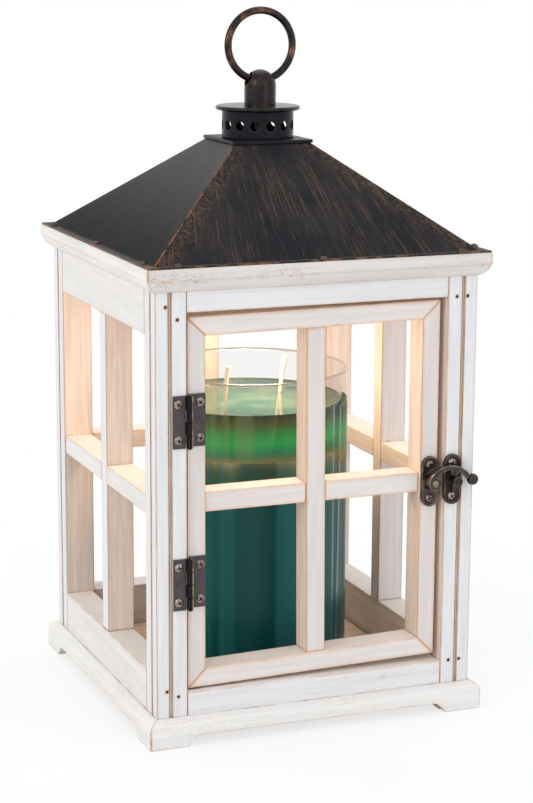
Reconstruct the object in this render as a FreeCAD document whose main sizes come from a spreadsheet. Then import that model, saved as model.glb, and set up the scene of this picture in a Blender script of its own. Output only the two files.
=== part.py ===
import FreeCAD, Part
import math
import os
import re
import Sketcher
from FreeCAD import Placement, Rotation, Vector

# A wooden candle lantern with an electric warming bulb under its metal roof.
# Millimetres, +Z up, origin on the table under the middle of the body.
# The door is at the front, which faces -Y; it is hinged on its -X side.

doc = FreeCAD.newDocument("CandleLantern")

SIZES = [
    # frame of posts and rails
    ("body_width", 160, "across the corner posts, both ways"),
    ("frame_height", 224.2, "table to the underside of the roof flange"),
    ("post_width", 15, "side of a square corner post"),
    ("groove_inset", 7, "post corner to the middle of its V groove"),
    ("groove_side", 1, "side of the square that cuts the V groove"),
    ("rail_depth", 14, "rail and window bar thickness, front to back"),
    ("door_sill", 25, "top of the rail under the door"),
    ("front_rail_height", 20.7, "rail over the door"),
    ("window_sill", 33.3, "top of the rails under the windows"),
    ("window_rail_height", 32.2, "rails over the windows"),
    ("bar_width", 9.2, "face of a window bar"),
    ("bar_setback", 0.6, "window bar face behind the rail face"),
    # base
    ("skirt_overhang", 4.8, "skirt face in front of the posts"),
    ("skirt_height", 13.8, "top of the skirt where it meets the posts"),
    ("skirt_face", 8.8, "height of the upright part of the skirt face"),
    ("skirt_ledge", 2.2, "depth of the sloping ledge on top of the skirt"),
    ("skirt_fall", 0.9, "fall of that ledge"),
    ("foot_length", 18.8, "bracket foot along the floor, from the corner"),
    ("foot_slant", 5.4, "sideways run of the foot's slanted end"),
    ("arch_height", 5, "skirt lifted off the table between the feet"),
    # floor and ceiling
    ("floor_top", 12.5, "top of the floor board"),
    ("floor_thickness", 4, "floor board"),
    ("floor_gap", 0.2, "floor and ceiling board to the posts"),
    ("cleat_width", 8, "strips that carry the floor board"),
    ("ceiling_drop", 20.2, "underside of the ceiling board below the roof flange"),
    ("ceiling_thickness", 6, "ceiling board"),
    ("bulb_gap", 2.5, "bulb rim to the hole in the ceiling board"),
    # brad nails through the posts
    ("brad_radius", 0.7, "brad nail"),
    ("brad_length", 24, "brad nail"),
    ("brad_sink", 0.2, "brad head below the wood"),
    ("brad_rise", 11.5, "upper brads above the window"),
    ("brad_drop", 8.4, "lower brads below the window"),
    ("brad_nudge", 1.5, "step by which some brads sit higher or lower"),
    ("brad_cover", 6, "hidden brads below the roof flange"),
    ("brad_foot", 9, "hidden brads above the table"),
    ("brad_depth", 3.5, "hidden brads behind the face of the posts"),
    ("brad_inset", 5, "outer brad of a pair from the post corner"),
    ("brad_spread", 5.6, "sideways distance between the two brads"),
    # crown moulding
    ("crown_height", 11.2, "crown moulding"),
    ("crown_overhang", 5.1, "crown moulding in front of the posts"),
    ("crown_band", 5.4, "height of its upper band"),
    ("crown_step", 0.3, "lower part behind the upper band"),
    ("crown_edge", 0.8, "radius of its upper edge"),
    # door
    ("door_gap_hinge", 1.2, "door to the hinge post"),
    ("door_gap_latch", 2.5, "door to the latch post"),
    ("door_gap_top", 1.6, "door to the rail above, at the latch"),
    ("door_gap_bottom", 3.4, "door to the rail below, at the latch"),
    ("door_drop_top", 1.1, "upper edge of the door lower at the hinges than at the latch"),
    ("door_drop_bottom", 2.7, "lower edge of the door lower at the hinges than at the latch"),
    ("door_recess", 3, "door face behind the post face"),
    ("door_thickness", 14, "door"),
    ("door_member", 8.9, "face of a door stile or rail"),
    ("door_bar_width", 9.5, "face of a door bar"),
    ("door_upright_shift", 0.5, "top of the upright door bar from the door's middle"),
    ("door_upright_lean", 1.15, "foot of the upright door bar from its top, towards the latch"),
    ("door_upright_setback", 1.2, "upright door bar behind the door face"),
    ("door_crossbar_setback", 1.8, "door crossbars behind the door face"),
    # hinges
    ("hinge_height", 24.5, "leaf and barrel"),
    ("hinge_axis_inset", 1, "hinge axis inside the face of the post"),
    ("hinge_top_drop", 48.3, "top of the door to the middle of the upper hinge"),
    ("hinge_bottom_rise", 48.9, "bottom of the door to the middle of the lower hinge"),
    ("leaf_thickness", 0.8, "hinge leaf"),
    ("frame_leaf_width", 7.9, "hinge axis to the outer edge of the frame leaf"),
    ("door_leaf_width", 8.9, "hinge axis to the outer edge of the door leaf"),
    ("hinge_screw_edge", 2.7, "hinge screws from the outer edge of their leaf"),
    ("barrel_radius", 1.5, "hinge barrel"),
    ("barrel_clearance", 0.35, "frame leaf to the door's knuckles"),
    ("hinge_pin_radius", 0.8, "hinge pin"),
    ("hinge_pin_play", 0.05, "hinge pin in the door's knuckles"),
    ("knuckle_gap", 0.3, "between two knuckles, along the pin"),
    # screws of the hinges and of the latch
    ("screw_head_radius", 2.2, "pan head"),
    ("screw_head_height", 1.3, "pan head"),
    ("screw_shank_radius", 0.9, "shank"),
    ("screw_length", 8, "under the head"),
    ("screw_offset", 8.3, "screw above and below the middle of its plate"),
    ("recess_width", 0.6, "arm of the cross recess"),
    ("recess_length", 2.6, "cross recess"),
    ("recess_depth", 0.7, "cross recess"),
    # latch
    ("latch_width", 9.2, "latch plate and catch plate"),
    ("latch_height", 24.4, "latch plate and catch plate"),
    ("latch_inset", 4.1, "middle of the latch plate from the edge of the door"),
    ("latch_drop", 0.35, "middle of the latch plate below the middle of the door"),
    ("latch_plate_thickness", 1.8, "latch plate"),
    ("plate_rim", 1.1, "raised rim of the latch plate and catch plate"),
    ("plate_recess", 1, "their middle behind the rim"),
    ("latch_boss_foot", 4, "radius of the boss at the latch plate"),
    ("latch_boss_radius", 3.2, "boss under the hook"),
    ("latch_boss_height", 3.55, "boss above the latch plate"),
    ("hook_gap", 0.15, "hook to the boss and to the rivet head"),
    ("hook_thickness", 2, "hook, flat part"),
    ("hook_hub_radius", 3.4, "hook around its rivet"),
    ("hook_band", 2.4, "width of the hook's bow"),
    ("hook_bow_radius", 12.5, "outer radius of the bow"),
    ("hook_bow_side", 7.7, "pivot to the middle of the bow, sideways"),
    ("hook_bow_drop", 4, "middle of the bow below the pivot"),
    ("hook_lobe_radius", 2.2, "lobe that rests on the catch pin"),
    ("hook_ball_radius", 2.8, "ball at the end of the hook"),
    ("hook_ball_proud", 1, "middle of the ball in front of the middle of the hook"),
    ("hook_reach", 19.3, "pivot to the middle of the ball, sideways"),
    ("hook_ball_rise", 0.9, "middle of the ball above the pivot"),
    ("rivet_radius", 1, "rivet shank"),
    ("rivet_play", 0.05, "rivet in the hook"),
    ("rivet_head_radius", 1.9, "rivet head"),
    ("rivet_head_height", 1.1, "rivet head"),
    ("catch_rise", 1, "catch plate above the latch plate"),
    ("catch_plate_thickness", 2, "catch plate"),
    ("catch_inset", 3.5, "middle of the catch plate from the post's inner face"),
    ("catch_stem_radius", 1.7, "catch pin"),
    ("catch_stem_length", 4.6, "catch pin in front of its plate, to its head"),
    ("catch_head_radius", 2.4, "head of the catch pin"),
    ("catch_head_length", 1.4, "head of the catch pin"),
    ("catch_gap", 0.3, "hook above the head of the catch pin"),
    ("catch_rib", 1.2, "rib under the catch pin, width"),
    # roof
    ("roof_sheet", 0.8, "sheet metal of the roof"),
    ("flange_overhang", 4.8, "roof flange in front of the posts"),
    ("flange_width", 4.5, "flat flange around the slopes"),
    ("roof_rise", 46.5, "flange to the top of the slopes"),
    ("roof_top_half", 19.6, "half width of the top of the slopes"),
    ("cap_overhang", 0.9, "top plate beyond the slopes"),
    ("cap_thickness", 1.6, "top plate"),
    ("roof_screw_offset", 70, "outer roof screws from the middle of a side"),
    ("roof_screw_head", 2, "radius of a roof screw head"),
    ("roof_screw_length", 10, "roof screw under its head"),
    # chimney
    ("chimney_radius", 17.3, "vent collar"),
    ("chimney_wall", 0.8, "vent collar wall"),
    ("chimney_height", 13.2, "vent collar"),
    ("vent_hole_radius", 2.25, "hole in the vent collar"),
    ("vent_hole_rise", 6.3, "hole above the top plate"),
    ("vent_hole_count", 14, "holes around the vent collar"),
    ("draught_radius", 15, "opening under the vent collar"),
    ("hub_radius", 5.5, "hub of the top plate, for the finial screw"),
    ("spoke_width", 4, "spokes of the top plate"),
    ("disc_radius", 20.4, "cap disc"),
    ("disc_thickness", 2.1, "cap disc"),
    # finial and ring
    ("finial_radius", 7.65, "finial"),
    ("finial_height", 17.1, "finial"),
    ("finial_shift", 1.2, "finial and ring from the middle, to the right"),
    ("finial_screw_radius", 2, "screw that holds the finial"),
    ("finial_screw_depth", 6.5, "that screw in the finial"),
    ("finial_screw_head", 3.4, "radius of its head"),
    ("finial_screw_head_height", 2, "height of its head"),
    ("ring_radius", 16.5, "carry ring, to the middle of the wire"),
    ("ring_wire_radius", 1.8, "wire of the carry ring"),
    ("ring_hole_radius", 3.1, "hole through the finial"),
    ("ring_hole_rise", 12.8, "middle of that hole above the finial's foot"),
    ("ring_sag", 0.8, "hole's middle above the lowest point of the wire's middle"),
    # bulb and its holder
    ("bulb_reach", 8, "face of the bulb below the ceiling board"),
    ("bulb_radius", 25, "rim of the reflector bulb"),
    ("bulb_rim", 3, "height of its rim"),
    ("bulb_neck_radius", 11.5, "neck of the bulb"),
    ("bulb_neck_start", 35, "bulb face to its neck"),
    ("bulb_neck_end", 47, "bulb face to the end of its neck"),
    ("bulb_dish", 60, "radius of the reflector's curve"),
    ("lens_thickness", 1.5, "front of the bulb, inside its rim"),
    ("contact_pitch", 5, "contact pin from the bulb's axis"),
    ("contact_radius", 1.6, "contact pin"),
    ("contact_length", 7, "contact pin with its head"),
    ("contact_head_radius", 2.5, "head of a contact pin"),
    ("contact_head_height", 2.4, "head of a contact pin"),
    ("contact_play", 0.35, "contact pin in its slot"),
    ("twist_angle", 30, "turn of the bulb in its holder"),
    ("holder_gap", 0.4, "bulb neck to its holder"),
    ("holder_radius", 14, "lamp holder"),
    ("holder_height", 14, "lamp holder"),
    ("strap_width", 16, "steel strap that carries the lamp holder"),
    ("strap_thickness", 1.2, "steel strap"),
    ("strap_leg", 30, "strap leg from the middle"),
    ("strap_foot", 8, "strap foot, outside of the leg"),
    ("lamp_screw_radius", 1.2, "screws of the lamp strap and terminal block"),
    ("lamp_screw_head", 2.2, "head radius of those screws"),
    ("lamp_screw_head_height", 1.2, "head height of those screws"),
    ("lamp_screw_length", 5, "those screws under the head"),
    ("holder_screw_offset", 9.5, "holder screws from the middle"),
    # wiring
    ("lead_radius", 1, "insulated lead"),
    ("lead_spread", 5, "lead from the middle"),
    ("lead_rise", 7, "lead above the foot of the lamp holder"),
    ("lead_back", 32, "lead runs down this far behind the bulb's axis"),
    ("lead_seat", 3, "lead inside the holder and the terminal block"),
    ("terminal_back", 42, "front of the terminal block behind the middle"),
    ("terminal_length", 12, "terminal block, front to back"),
    ("terminal_width", 24, "terminal block, sideways"),
    ("terminal_height", 12, "terminal block"),
    ("terminal_lead_height", 5, "wire way above the ceiling board"),
    ("gland_rise", 13, "cord gland above the roof flange"),
    ("gland_bore_radius", 3.1, "way for the cord"),
    ("gland_neck_radius", 4.6, "gland in the hole of the roof"),
    ("gland_flange_radius", 6.4, "gland flanges"),
    ("gland_flange_thickness", 1.6, "gland flanges"),
    # candle
    ("jar_radius", 49.5, "candle glass"),
    ("jar_height", 147.7, "candle glass"),
    ("jar_wall", 2.8, "candle glass"),
    ("jar_base", 6, "foot of the candle glass"),
    ("jar_round", 4, "rounding at the foot of the glass"),
    ("jar_lift", 0.3, "glass above the floor board at rest"),
    ("jar_side", -3.5, "candle from the middle, to the right"),
    ("jar_back", 2.5, "candle from the middle, to the back"),
    ("wax_depth", 126.2, "wax in the glass"),
    ("pool_depth", 23.5, "melted wax on the hard wax, at the glass"),
    ("pool_dip", 5.5, "dish in the hard wax under the melted wax"),
    ("wick_radius", 1.1, "wick"),
    ("wick_length", 51, "wick"),
    ("wick_seat", 33, "wick below the top of the wax"),
    ("wick_lean", 7, "lean of a wick, degrees"),
]

# Places and lengths that follow from the sizes.
FOLLOWS = {
    "body_half": "body_width / 2",
    "post_face": "body_half - post_width",
    "rail_face": "body_half - rail_depth",
    "rail_foot": "arch_height",
    "skirt_half": "body_half + skirt_overhang",
    "door_head": "frame_height - front_rail_height",
    "window_head": "frame_height - window_rail_height",
    "window_middle": "(window_sill + window_head) / 2",
    "bar_half": "bar_width / 2",
    "floor_half": "post_face - floor_gap",
    "floor_bottom": "floor_top - floor_thickness",
    "ceiling_bottom": "frame_height - ceiling_drop",
    "ceiling_top": "ceiling_bottom + ceiling_thickness",
    "nose_run": "skirt_overhang - skirt_ledge",
    "nose_rise": "skirt_height - skirt_fall - skirt_face",
    "skirt_nose": "(nose_run ^ 2 + nose_rise ^ 2) / (2 * nose_run)",
    "crown_half": "body_half + crown_overhang",
    "cove_run": "crown_overhang - crown_step",
    "cove_rise": "crown_height - crown_band",
    "crown_cove": "(cove_run ^ 2 + cove_rise ^ 2) / (2 * cove_run) * 1.25",
    "crown_bottom": "frame_height - crown_height",
    # door
    "door_left": "-post_face + door_gap_hinge",
    "door_right": "post_face - door_gap_latch",
    "door_bottom": "door_sill + door_gap_bottom",
    "door_top": "door_head - door_gap_top",
    "door_middle": "(door_bottom + door_top) / 2",
    "door_centre": "(door_left + door_right) / 2",
    "door_front": "-body_half + door_recess",
    "door_back": "door_front + door_thickness",
    "door_bar_half": "door_bar_width / 2",
    "door_inner_left": "door_left + door_member",
    "door_inner_right": "door_right - door_member",
    "door_upright_top": "door_centre + door_upright_shift",
    "door_upright_foot": "door_upright_top + door_upright_lean",
    "crossbar_z": "door_middle - (door_drop_top + door_drop_bottom) / 4",
    # hinge
    "hinge_x": "-post_face + hinge_axis_inset",
    "hinge_y": "-body_half - barrel_radius",
    "leaf_front": "-body_half - leaf_thickness",
    "door_leaf_front": "door_front - leaf_thickness",
    "knuckle_pitch": "hinge_height / 4",
    "upper_hinge": "door_top - hinge_top_drop",
    "lower_hinge": "door_bottom + hinge_bottom_rise",
    "frame_screw_x": "hinge_x - frame_leaf_width + hinge_screw_edge",
    "door_screw_x": "hinge_x + door_leaf_width - hinge_screw_edge",
    # latch
    "latch_x": "door_right - latch_inset",
    "latch_z": "door_middle - latch_drop",
    "latch_front": "door_front - latch_plate_thickness",
    "latch_screw_seat": "latch_front + plate_recess",
    "boss_front": "latch_front - latch_boss_height",
    "hook_back": "boss_front - hook_gap",
    "hook_front": "hook_back - hook_thickness",
    "hook_middle": "(hook_back + hook_front) / 2",
    "rivet_head_back": "hook_front - hook_gap",
    "catch_x": "post_face + catch_inset",
    "catch_z": "latch_z + catch_rise",
    "catch_front": "-body_half - catch_plate_thickness",
    "catch_screw_seat": "catch_front + plate_recess",
    "catch_head_back": "catch_front - catch_stem_length",
    "lobe_z": "catch_z + catch_head_radius + catch_gap + hook_lobe_radius",
    # roof
    "flange_top": "frame_height + roof_sheet",
    "flange_half": "body_half + flange_overhang",
    "slope_foot": "flange_half - flange_width",
    "slope_run": "slope_foot - roof_top_half",
    "slope_wall": "roof_sheet * sqrt(1 + (slope_run / roof_rise) ^ 2)",
    "slope_top": "flange_top + roof_rise",
    "cap_half": "roof_top_half + cap_overhang",
    "cap_top": "slope_top + cap_thickness",
    "roof_screw_side": "flange_half - flange_width / 2",
    "chimney_top": "cap_top + chimney_height",
    "disc_top": "chimney_top + disc_thickness",
    "finial_top": "disc_top + finial_height",
    "ring_hole": "disc_top + ring_hole_rise",
    "ring_middle": "ring_hole - ring_sag + ring_radius",
    # lamp
    "bulb_face": "ceiling_bottom - bulb_reach",
    "neck_top": "bulb_face + bulb_neck_end",
    "holder_bottom": "neck_top + holder_gap",
    "holder_top": "holder_bottom + holder_height",
    "lead_z": "holder_bottom + lead_rise",
    "terminal_lead": "ceiling_top + terminal_lead_height",
    "gland_y": "slope_foot - gland_rise * slope_run / roof_rise",
    "gland_z": "flange_top + gland_rise",
    "slope_angle": "atan(roof_rise / slope_run)",
    # candle
    "jar_bottom": "floor_top + jar_lift",
    "wax_radius": "jar_radius - jar_wall",
    "wax_top": "jar_bottom + jar_base + wax_depth",
    "pool_edge": "wax_top - pool_depth",
    "pool_round": "(wax_radius * wax_radius + pool_dip * pool_dip) / (2 * pool_dip)",
}

HALF_ROUND = "half round"
HINGES = {"upper": "upper_hinge", "lower": "lower_hinge"}
SIDES = ("front", "right", "back", "left")
CORNERS = {"front_left": (-1, -1), "front_right": (1, -1), "back_left": (-1, 1), "back_right": (1, 1)}
BRAD_NUDGES = {(-1, "top"): (2, -2), (-1, "bottom"): (1, -1), (1, "top"): (0, 0), (1, "bottom"): (0, 0)}
WICKS = {"left": (-17, -2.2, 1), "right": (16.6, 8.5, 1)}

sheet = doc.addObject("Spreadsheet::Sheet", "Sizes")
for row, (alias, length, note) in enumerate(SIZES, 1):
    sheet.set(f"A{row}", alias)
    sheet.set(f"B{row}", str(length))
    sheet.set(f"C{row}", note)
    sheet.setAlias(f"B{row}", alias)
doc.recompute()

ALIASES = {alias for alias, length, note in SIZES}
nodes = {}


# ---------------------------------------------------------------- formulas

def formula(text):
    """The expression for a text that names sizes and the places that follow."""
    def spell(match):
        word = match.group(0)
        if word in ALIASES:
            return "Sizes." + word
        if word in FOLLOWS:
            return "(" + formula(FOLLOWS[word]) + ")"
        return word
    return re.sub(r"[a-z][a-z_]*", spell, text)


def size(text):
    return float(sheet.evalExpression(formula(text)))


def bind(thing, path, text):
    thing.setExpression(path, formula(text))


def place(thing, x="0", y="0", z="0"):
    for letter, text in zip("xyz", (x, y, z)):
        bind(thing, f"Placement.Base.{letter}", text)
    return thing


def node(label, thing):
    """Names a finished sub-part."""
    thing.Label = label
    nodes[label] = thing
    return thing


# ---------------------------------------------------------------- primitives

def box(name, x, y, z):
    """A box between a low and a high formula on each axis."""
    made = doc.addObject("Part::Box", name)
    for side, (low, high) in zip(("Length", "Width", "Height"), (x, y, z)):
        bind(made, side, f"({high}) - ({low})")
    return place(made, x[0], y[0], z[0])


AIMS = {
    "x": Rotation(Vector(0, 1, 0), 90),
    "-x": Rotation(Vector(0, 1, 0), -90),
    "y": Rotation(Vector(1, 0, 0), -90),
    "-y": Rotation(Vector(1, 0, 0), 90),
    "z": Rotation(),
}


def rod(name, radius, length, start, aim="z"):
    """A cylinder from a start point along one axis."""
    made = doc.addObject("Part::Cylinder", name)
    made.Placement = Placement(Vector(), AIMS[aim])
    bind(made, "Radius", radius)
    bind(made, "Height", length)
    return place(made, *start)


def ball(name, radius, middle):
    made = doc.addObject("Part::Sphere", name)
    bind(made, "Radius", radius)
    return place(made, *middle)


def fuse(name, *pieces):
    made = doc.addObject("Part::MultiFuse", name)
    made.Shapes = list(pieces)
    return made


def common(name, *pieces):
    made = doc.addObject("Part::MultiCommon", name)
    made.Shapes = list(pieces)
    return made


def group(name, *pieces):
    made = doc.addObject("Part::Compound", name)
    made.Links = list(pieces)
    return made


def cut(name, base, *tools):
    made = doc.addObject("Part::Cut", name)
    made.Base = base
    made.Tool = tools[0] if len(tools) == 1 else fuse(name + "_cutters", *tools)
    return made


def copy_at(name, original, x, y, z, turn=None):
    """A link to a part, moved and turned."""
    made = doc.addObject("App::Link", name)
    made.LinkedObject = original
    made.LinkTransform = True
    made.Placement = Placement(Vector(), turn or Rotation())
    return place(made, x, y, z)


def turned(name, original, side):
    """A link to a part of the front, turned about the lantern's upright axis to another side."""
    quarter_turns = SIDES.index(side)
    return copy_at(name, original, "0", "0", "0", Rotation(Vector(0, 0, 1), 360 / len(SIDES) * quarter_turns))


# ---------------------------------------------------------------- sketched bodies

def plane_of(body, role):
    return next(item for item in body.Origin.OriginFeatures if item.Role == role)


def edge_between(start, end, radius, side):
    """A line, or an arc that bulges to the left (side 1) or right (side -1) of the way."""
    if radius is None:
        return Part.LineSegment(start, end), 1, 2
    chord = end - start
    middle = (start + end) * 0.5
    across = Vector(-chord.y, chord.x, 0).normalize()
    rise = math.sqrt(max(radius ** 2 - (chord.Length / 2) ** 2, 0))
    centre = middle - across * side * rise
    circle = Part.Circle(centre, Vector(0, 0, 1), radius)
    angles = [math.atan2(point.y - centre.y, point.x - centre.x) for point in (start, end)]
    if side > 0:
        angles.reverse()
    if angles[1] < angles[0]:
        angles[1] += 2 * math.pi
    arc = Part.ArcOfCircle(circle, angles[0], angles[1])
    return (arc, 2, 1) if side > 0 else (arc, 1, 2)


def hold(sketch, kind, text, *where):
    """A constraint whose value follows a formula."""
    held = Sketcher.Constraint(kind, *where, size(text))
    bind(sketch, f"Constraints[{sketch.addConstraint(held)}]", text)


def pin_to(sketch, edge, point, x=None, y=None):
    """Holds a sketch point at one or two formulas."""
    for kind, text, axis in (("DistanceX", x, -2), ("DistanceY", y, -1)):
        if text == "0":
            sketch.addConstraint(Sketcher.Constraint("PointOnObject", edge, point, axis))
        elif text is not None:
            hold(sketch, kind, text, -1, 1, edge, point)


def draw(body, role, corners, offset="0", name="outline"):
    """A closed sketch. A corner is (x, y), or (x, y, radius, side) at the end of an arc.
    The radius HALF_ROUND makes a half circle on a level or upright chord."""
    sketch = body.newObject("Sketcher::SketchObject", f"{body.Name}_{name}")
    sketch.AttachmentSupport = (plane_of(body, role), [""])
    sketch.MapMode = "FlatFace"
    bind(sketch, "AttachmentOffset.Base.z", offset)
    points = [Vector(size(corner[0]), size(corner[1]), 0) for corner in corners]
    ends = []
    for index, corner in enumerate(corners):
        start, end = points[index - 1], points[index]
        radius, side = (corner[2], corner[3]) if len(corner) > 2 else (None, 0)
        if radius is not None:
            radius = (end - start).Length / 2 if radius == HALF_ROUND else size(radius)
        edge, first, last = edge_between(start, end, radius, side)
        ends.append((sketch.addGeometry(edge, False), first, last))
    for index, (edge, first, last) in enumerate(ends):
        x, y, *arc = corners[index]
        following, its_first, its_last = ends[(index + 1) % len(ends)]
        sketch.addConstraint(Sketcher.Constraint("Coincident", edge, last, following, its_first))
        pin_to(sketch, edge, last, x, y)
        if arc and arc[0] != HALF_ROUND:
            hold(sketch, "Radius", arc[0], edge)
        elif arc and corners[index - 1][0] == x:
            pin_to(sketch, edge, 3, x=x)
        elif arc:
            pin_to(sketch, edge, 3, y=y)
    return sketch


def slab(name, role, corners, low, high):
    """A sketch padded between two distances from its plane."""
    body = doc.addObject("PartDesign::Body", name)
    pad = body.newObject("PartDesign::Pad", name + "_pad")
    pad.Profile = draw(body, role, corners, low)
    bind(pad, "Length", f"({high}) - ({low})")
    return body


def lathe(name, corners, x="0", y="0"):
    """A profile of radius and height turned about an upright axis."""
    body = doc.addObject("PartDesign::Body", name)
    profile = draw(body, "XZ_Plane", corners)
    turn = body.newObject("PartDesign::Revolution", name + "_turn")
    turn.Profile = profile
    turn.ReferenceAxis = (profile, ["V_Axis"])
    turn.Angle = 360
    return place(body, x, y)


# ---------------------------------------------------------------- shared pieces

def pan_screw(name, head_radius, head_height, radius, length):
    """A pan-head screw that points down, the underside of its head at the origin."""
    shape = lathe(name + "_blank", [
        ("0", f"-({length})"),
        (radius, f"-({length})"),
        (radius, "0"),
        (head_radius, "0"),
        (head_radius, f"{head_height} * 0.45"),
        ("0", head_height, f"({head_radius} ^ 2 / {head_height} + {head_height}) * 0.62", 1),
    ])
    bottom = f"{head_height} - recess_depth"
    arms = [
        box(name + "_slot_" + word, *sides, (bottom, f"{head_height} + 1"))
        for word, sides in (
            ("across", (("-recess_length / 2", "recess_length / 2"), ("-recess_width / 2", "recess_width / 2"))),
            ("along", (("-recess_width / 2", "recess_width / 2"), ("-recess_length / 2", "recess_length / 2"))),
        )
    ]
    return cut(name, shape, *arms)


def stadium(middle_x, middle_z, width, height):
    """A plate outline with round ends, for the XZ plane."""
    straight = f"({height} - {width}) / 2"
    left, right = f"{middle_x} - {width} / 2", f"{middle_x} + {width} / 2"
    low, high = f"{middle_z} - {straight}", f"{middle_z} + {straight}"
    return [(left, high), (right, high, HALF_ROUND, 1), (right, low), (left, low, HALF_ROUND, 1)]


def screws_at(name, model, places, face):
    """Copies of a screw whose heads sit on a face that looks to -Y."""
    turn = Rotation(Vector(1, 0, 0), 90)
    return [copy_at(f"{name}_{count}", model, x, face, z, turn) for count, (x, z) in enumerate(places)]


def shank_bores(name, places, face):
    return [
        rod(f"{name}_bore_{count}", "screw_shank_radius", "screw_length + leaf_thickness + 2",
            (x, f"{face} - 1", z), "y")
        for count, (x, z) in enumerate(places)
    ]


# ---------------------------------------------------------------- nails

def face_brads():
    """Pairs of brads through the posts of the front and back, into the window rails."""
    heights = {"top": "window_head + brad_rise", "bottom": "window_sill - brad_drop"}
    for face, aim in ((-1, "y"), (1, "-y")):
        for (side, end), nudges in BRAD_NUDGES.items():
            for count, nudge in enumerate(nudges):
                x = f"{side} * (body_half - brad_inset - brad_spread * {count})"
                yield (x, f"{face} * (body_half - brad_sink)", f"{heights[end]} + {nudge} * brad_nudge"), aim


def hidden_brads():
    """Brads under the crown and the skirts, from the sides into the rails of the front and back."""
    for side, aim in ((-1, "x"), (1, "-x")):
        for face in (-1, 1):
            for height in ("frame_height - brad_cover", "brad_foot"):
                yield (f"{side} * (body_half - brad_sink)", f"{face} * (body_half - brad_depth)", height), aim


brad_list = [rod(f"brad_{count}", "brad_radius", "brad_length", start, aim)
             for count, (start, aim) in enumerate([*face_brads(), *hidden_brads()])]
node("brad_nails", group("brad_nails", *brad_list))


# ---------------------------------------------------------------- frame

def corner_post(label, side_x, side_y):
    """A square post with a V groove on its two outer faces."""
    x = sorted((f"{side_x} * body_half", f"{side_x} * post_face"), key=size)
    y = sorted((f"{side_y} * body_half", f"{side_y} * post_face"), key=size)
    blank = box(label + "_blank", x, y, ("0", "frame_height"))
    grooves = []
    for name, middle_x, middle_y in (
        ("groove_a", f"{side_x} * (body_half - groove_inset)", f"{side_y} * body_half"),
        ("groove_b", f"{side_x} * body_half", f"{side_y} * (body_half - groove_inset)"),
    ):
        cutter = doc.addObject("Part::Box", f"{label}_{name}")
        cutter.Placement = Placement(Vector(), Rotation(Vector(0, 0, 1), 45))
        bind(cutter, "Length", "groove_side")
        bind(cutter, "Width", "groove_side")
        bind(cutter, "Height", "frame_height + 2")
        grooves.append(place(cutter, middle_x, f"{middle_y} - groove_side / sqrt(2)", "-1"))
    return cut(label, blank, *grooves, *brad_list)


def front_rail(label, low, high):
    """A rail between the posts at the front."""
    return box(label, ("-post_face", "post_face"), ("-body_half", "-rail_face"), (low, high))


for corner, (side_x, side_y) in CORNERS.items():
    node(f"post_{corner}", corner_post(f"post_{corner}", side_x, side_y))

for side in SIDES:
    sill, head = ("door_sill", "door_head") if side == "front" else ("window_sill", "window_head")
    for end, low, high in (("top", head, "frame_height"), ("bottom", "rail_foot", sill)):
        label = f"{side}_{end}_rail"
        blank = turned(label + "_blank", front_rail(label + "_plain", low, high), side)
        node(label, cut(label, blank, *brad_list))


def window_bars(side):
    """An upright bar and the two halves of a crossbar in one window."""
    depth = ("-body_half + bar_setback", "-rail_face")
    upright = box(f"{side}_upright_plain", ("-bar_half", "bar_half"), depth, ("window_sill", "window_head"))
    halves = [
        box(f"{side}_crossbar_{end}", x, depth, ("window_middle - bar_half", "window_middle + bar_half"))
        for end, x in (("a", ("-post_face", "-bar_half")), ("b", ("bar_half", "post_face")))
    ]
    node(f"{side}_upright", turned(f"{side}_upright", upright, side))
    node(f"{side}_crossbars", turned(f"{side}_crossbars", group(f"{side}_crossbar_pair", *halves), side))


for side in SIDES[1:]:
    window_bars(side)


# ---------------------------------------------------------------- mouldings

def mitre_wedge(name, reach):
    """The quarter of the plan that belongs to the front."""
    return slab(name, "XY_Plane", [("0", "0"), (f"-({reach})", f"-({reach})"), (reach, f"-({reach})")],
                "-1", "frame_height + 1")


def moulding(label, profile, reach, side, *cutters):
    """A mitred length with one profile of depth and height, turned to its side."""
    strip = slab(label + "_strip", "YZ_Plane", profile, f"-({reach})", reach)
    length = common(label + "_length", strip, mitre_wedge(label + "_wedge", f"{reach} + 1"))
    shaped = cut(label + "_shaped", length, *cutters) if cutters else length
    return turned(label, shaped, side)


SKIRT_PROFILE = [
    ("-body_half", "0"),
    ("-body_half", "skirt_height"),
    ("-body_half - skirt_ledge", "skirt_height - skirt_fall"),
    ("-skirt_half", "skirt_face", "skirt_nose", -1),
    ("-skirt_half", "0"),
]

CROWN_PROFILE = [
    ("-body_half", "crown_bottom"),
    ("-body_half", "frame_height"),
    ("-crown_half + crown_edge", "frame_height"),
    ("-crown_half", "frame_height - crown_edge", "crown_edge", -1),
    ("-crown_half", "frame_height - crown_band"),
    ("-crown_half + crown_step", "frame_height - crown_band"),
    ("-body_half", "crown_bottom", "crown_cove", -1),
][1:]


def foot_arch(label):
    """The opening under a skirt, between two bracket feet."""
    foot = "(skirt_half - foot_length)"
    return slab(label, "XZ_Plane", [
        (f"-{foot}", "-1"),
        (f"-{foot}", "0"),
        (f"-{foot} + foot_slant", "arch_height", "foot_slant + arch_height", 1),
        (f"{foot} - foot_slant", "arch_height"),
        (foot, "0", "foot_slant + arch_height", 1),
        (foot, "-1"),
    ], "body_half - 1", "skirt_half + 1")


for side in SIDES:
    label = f"skirt_{side}"
    node(label, moulding(label, SKIRT_PROFILE, "skirt_half", side, foot_arch(label + "_arch")))


# ---------------------------------------------------------------- screws of the roof, as cutters too

roof_screw_model = pan_screw("roof_screw_model", "roof_screw_head", "screw_head_height",
                             "screw_shank_radius", "roof_screw_length")


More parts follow.
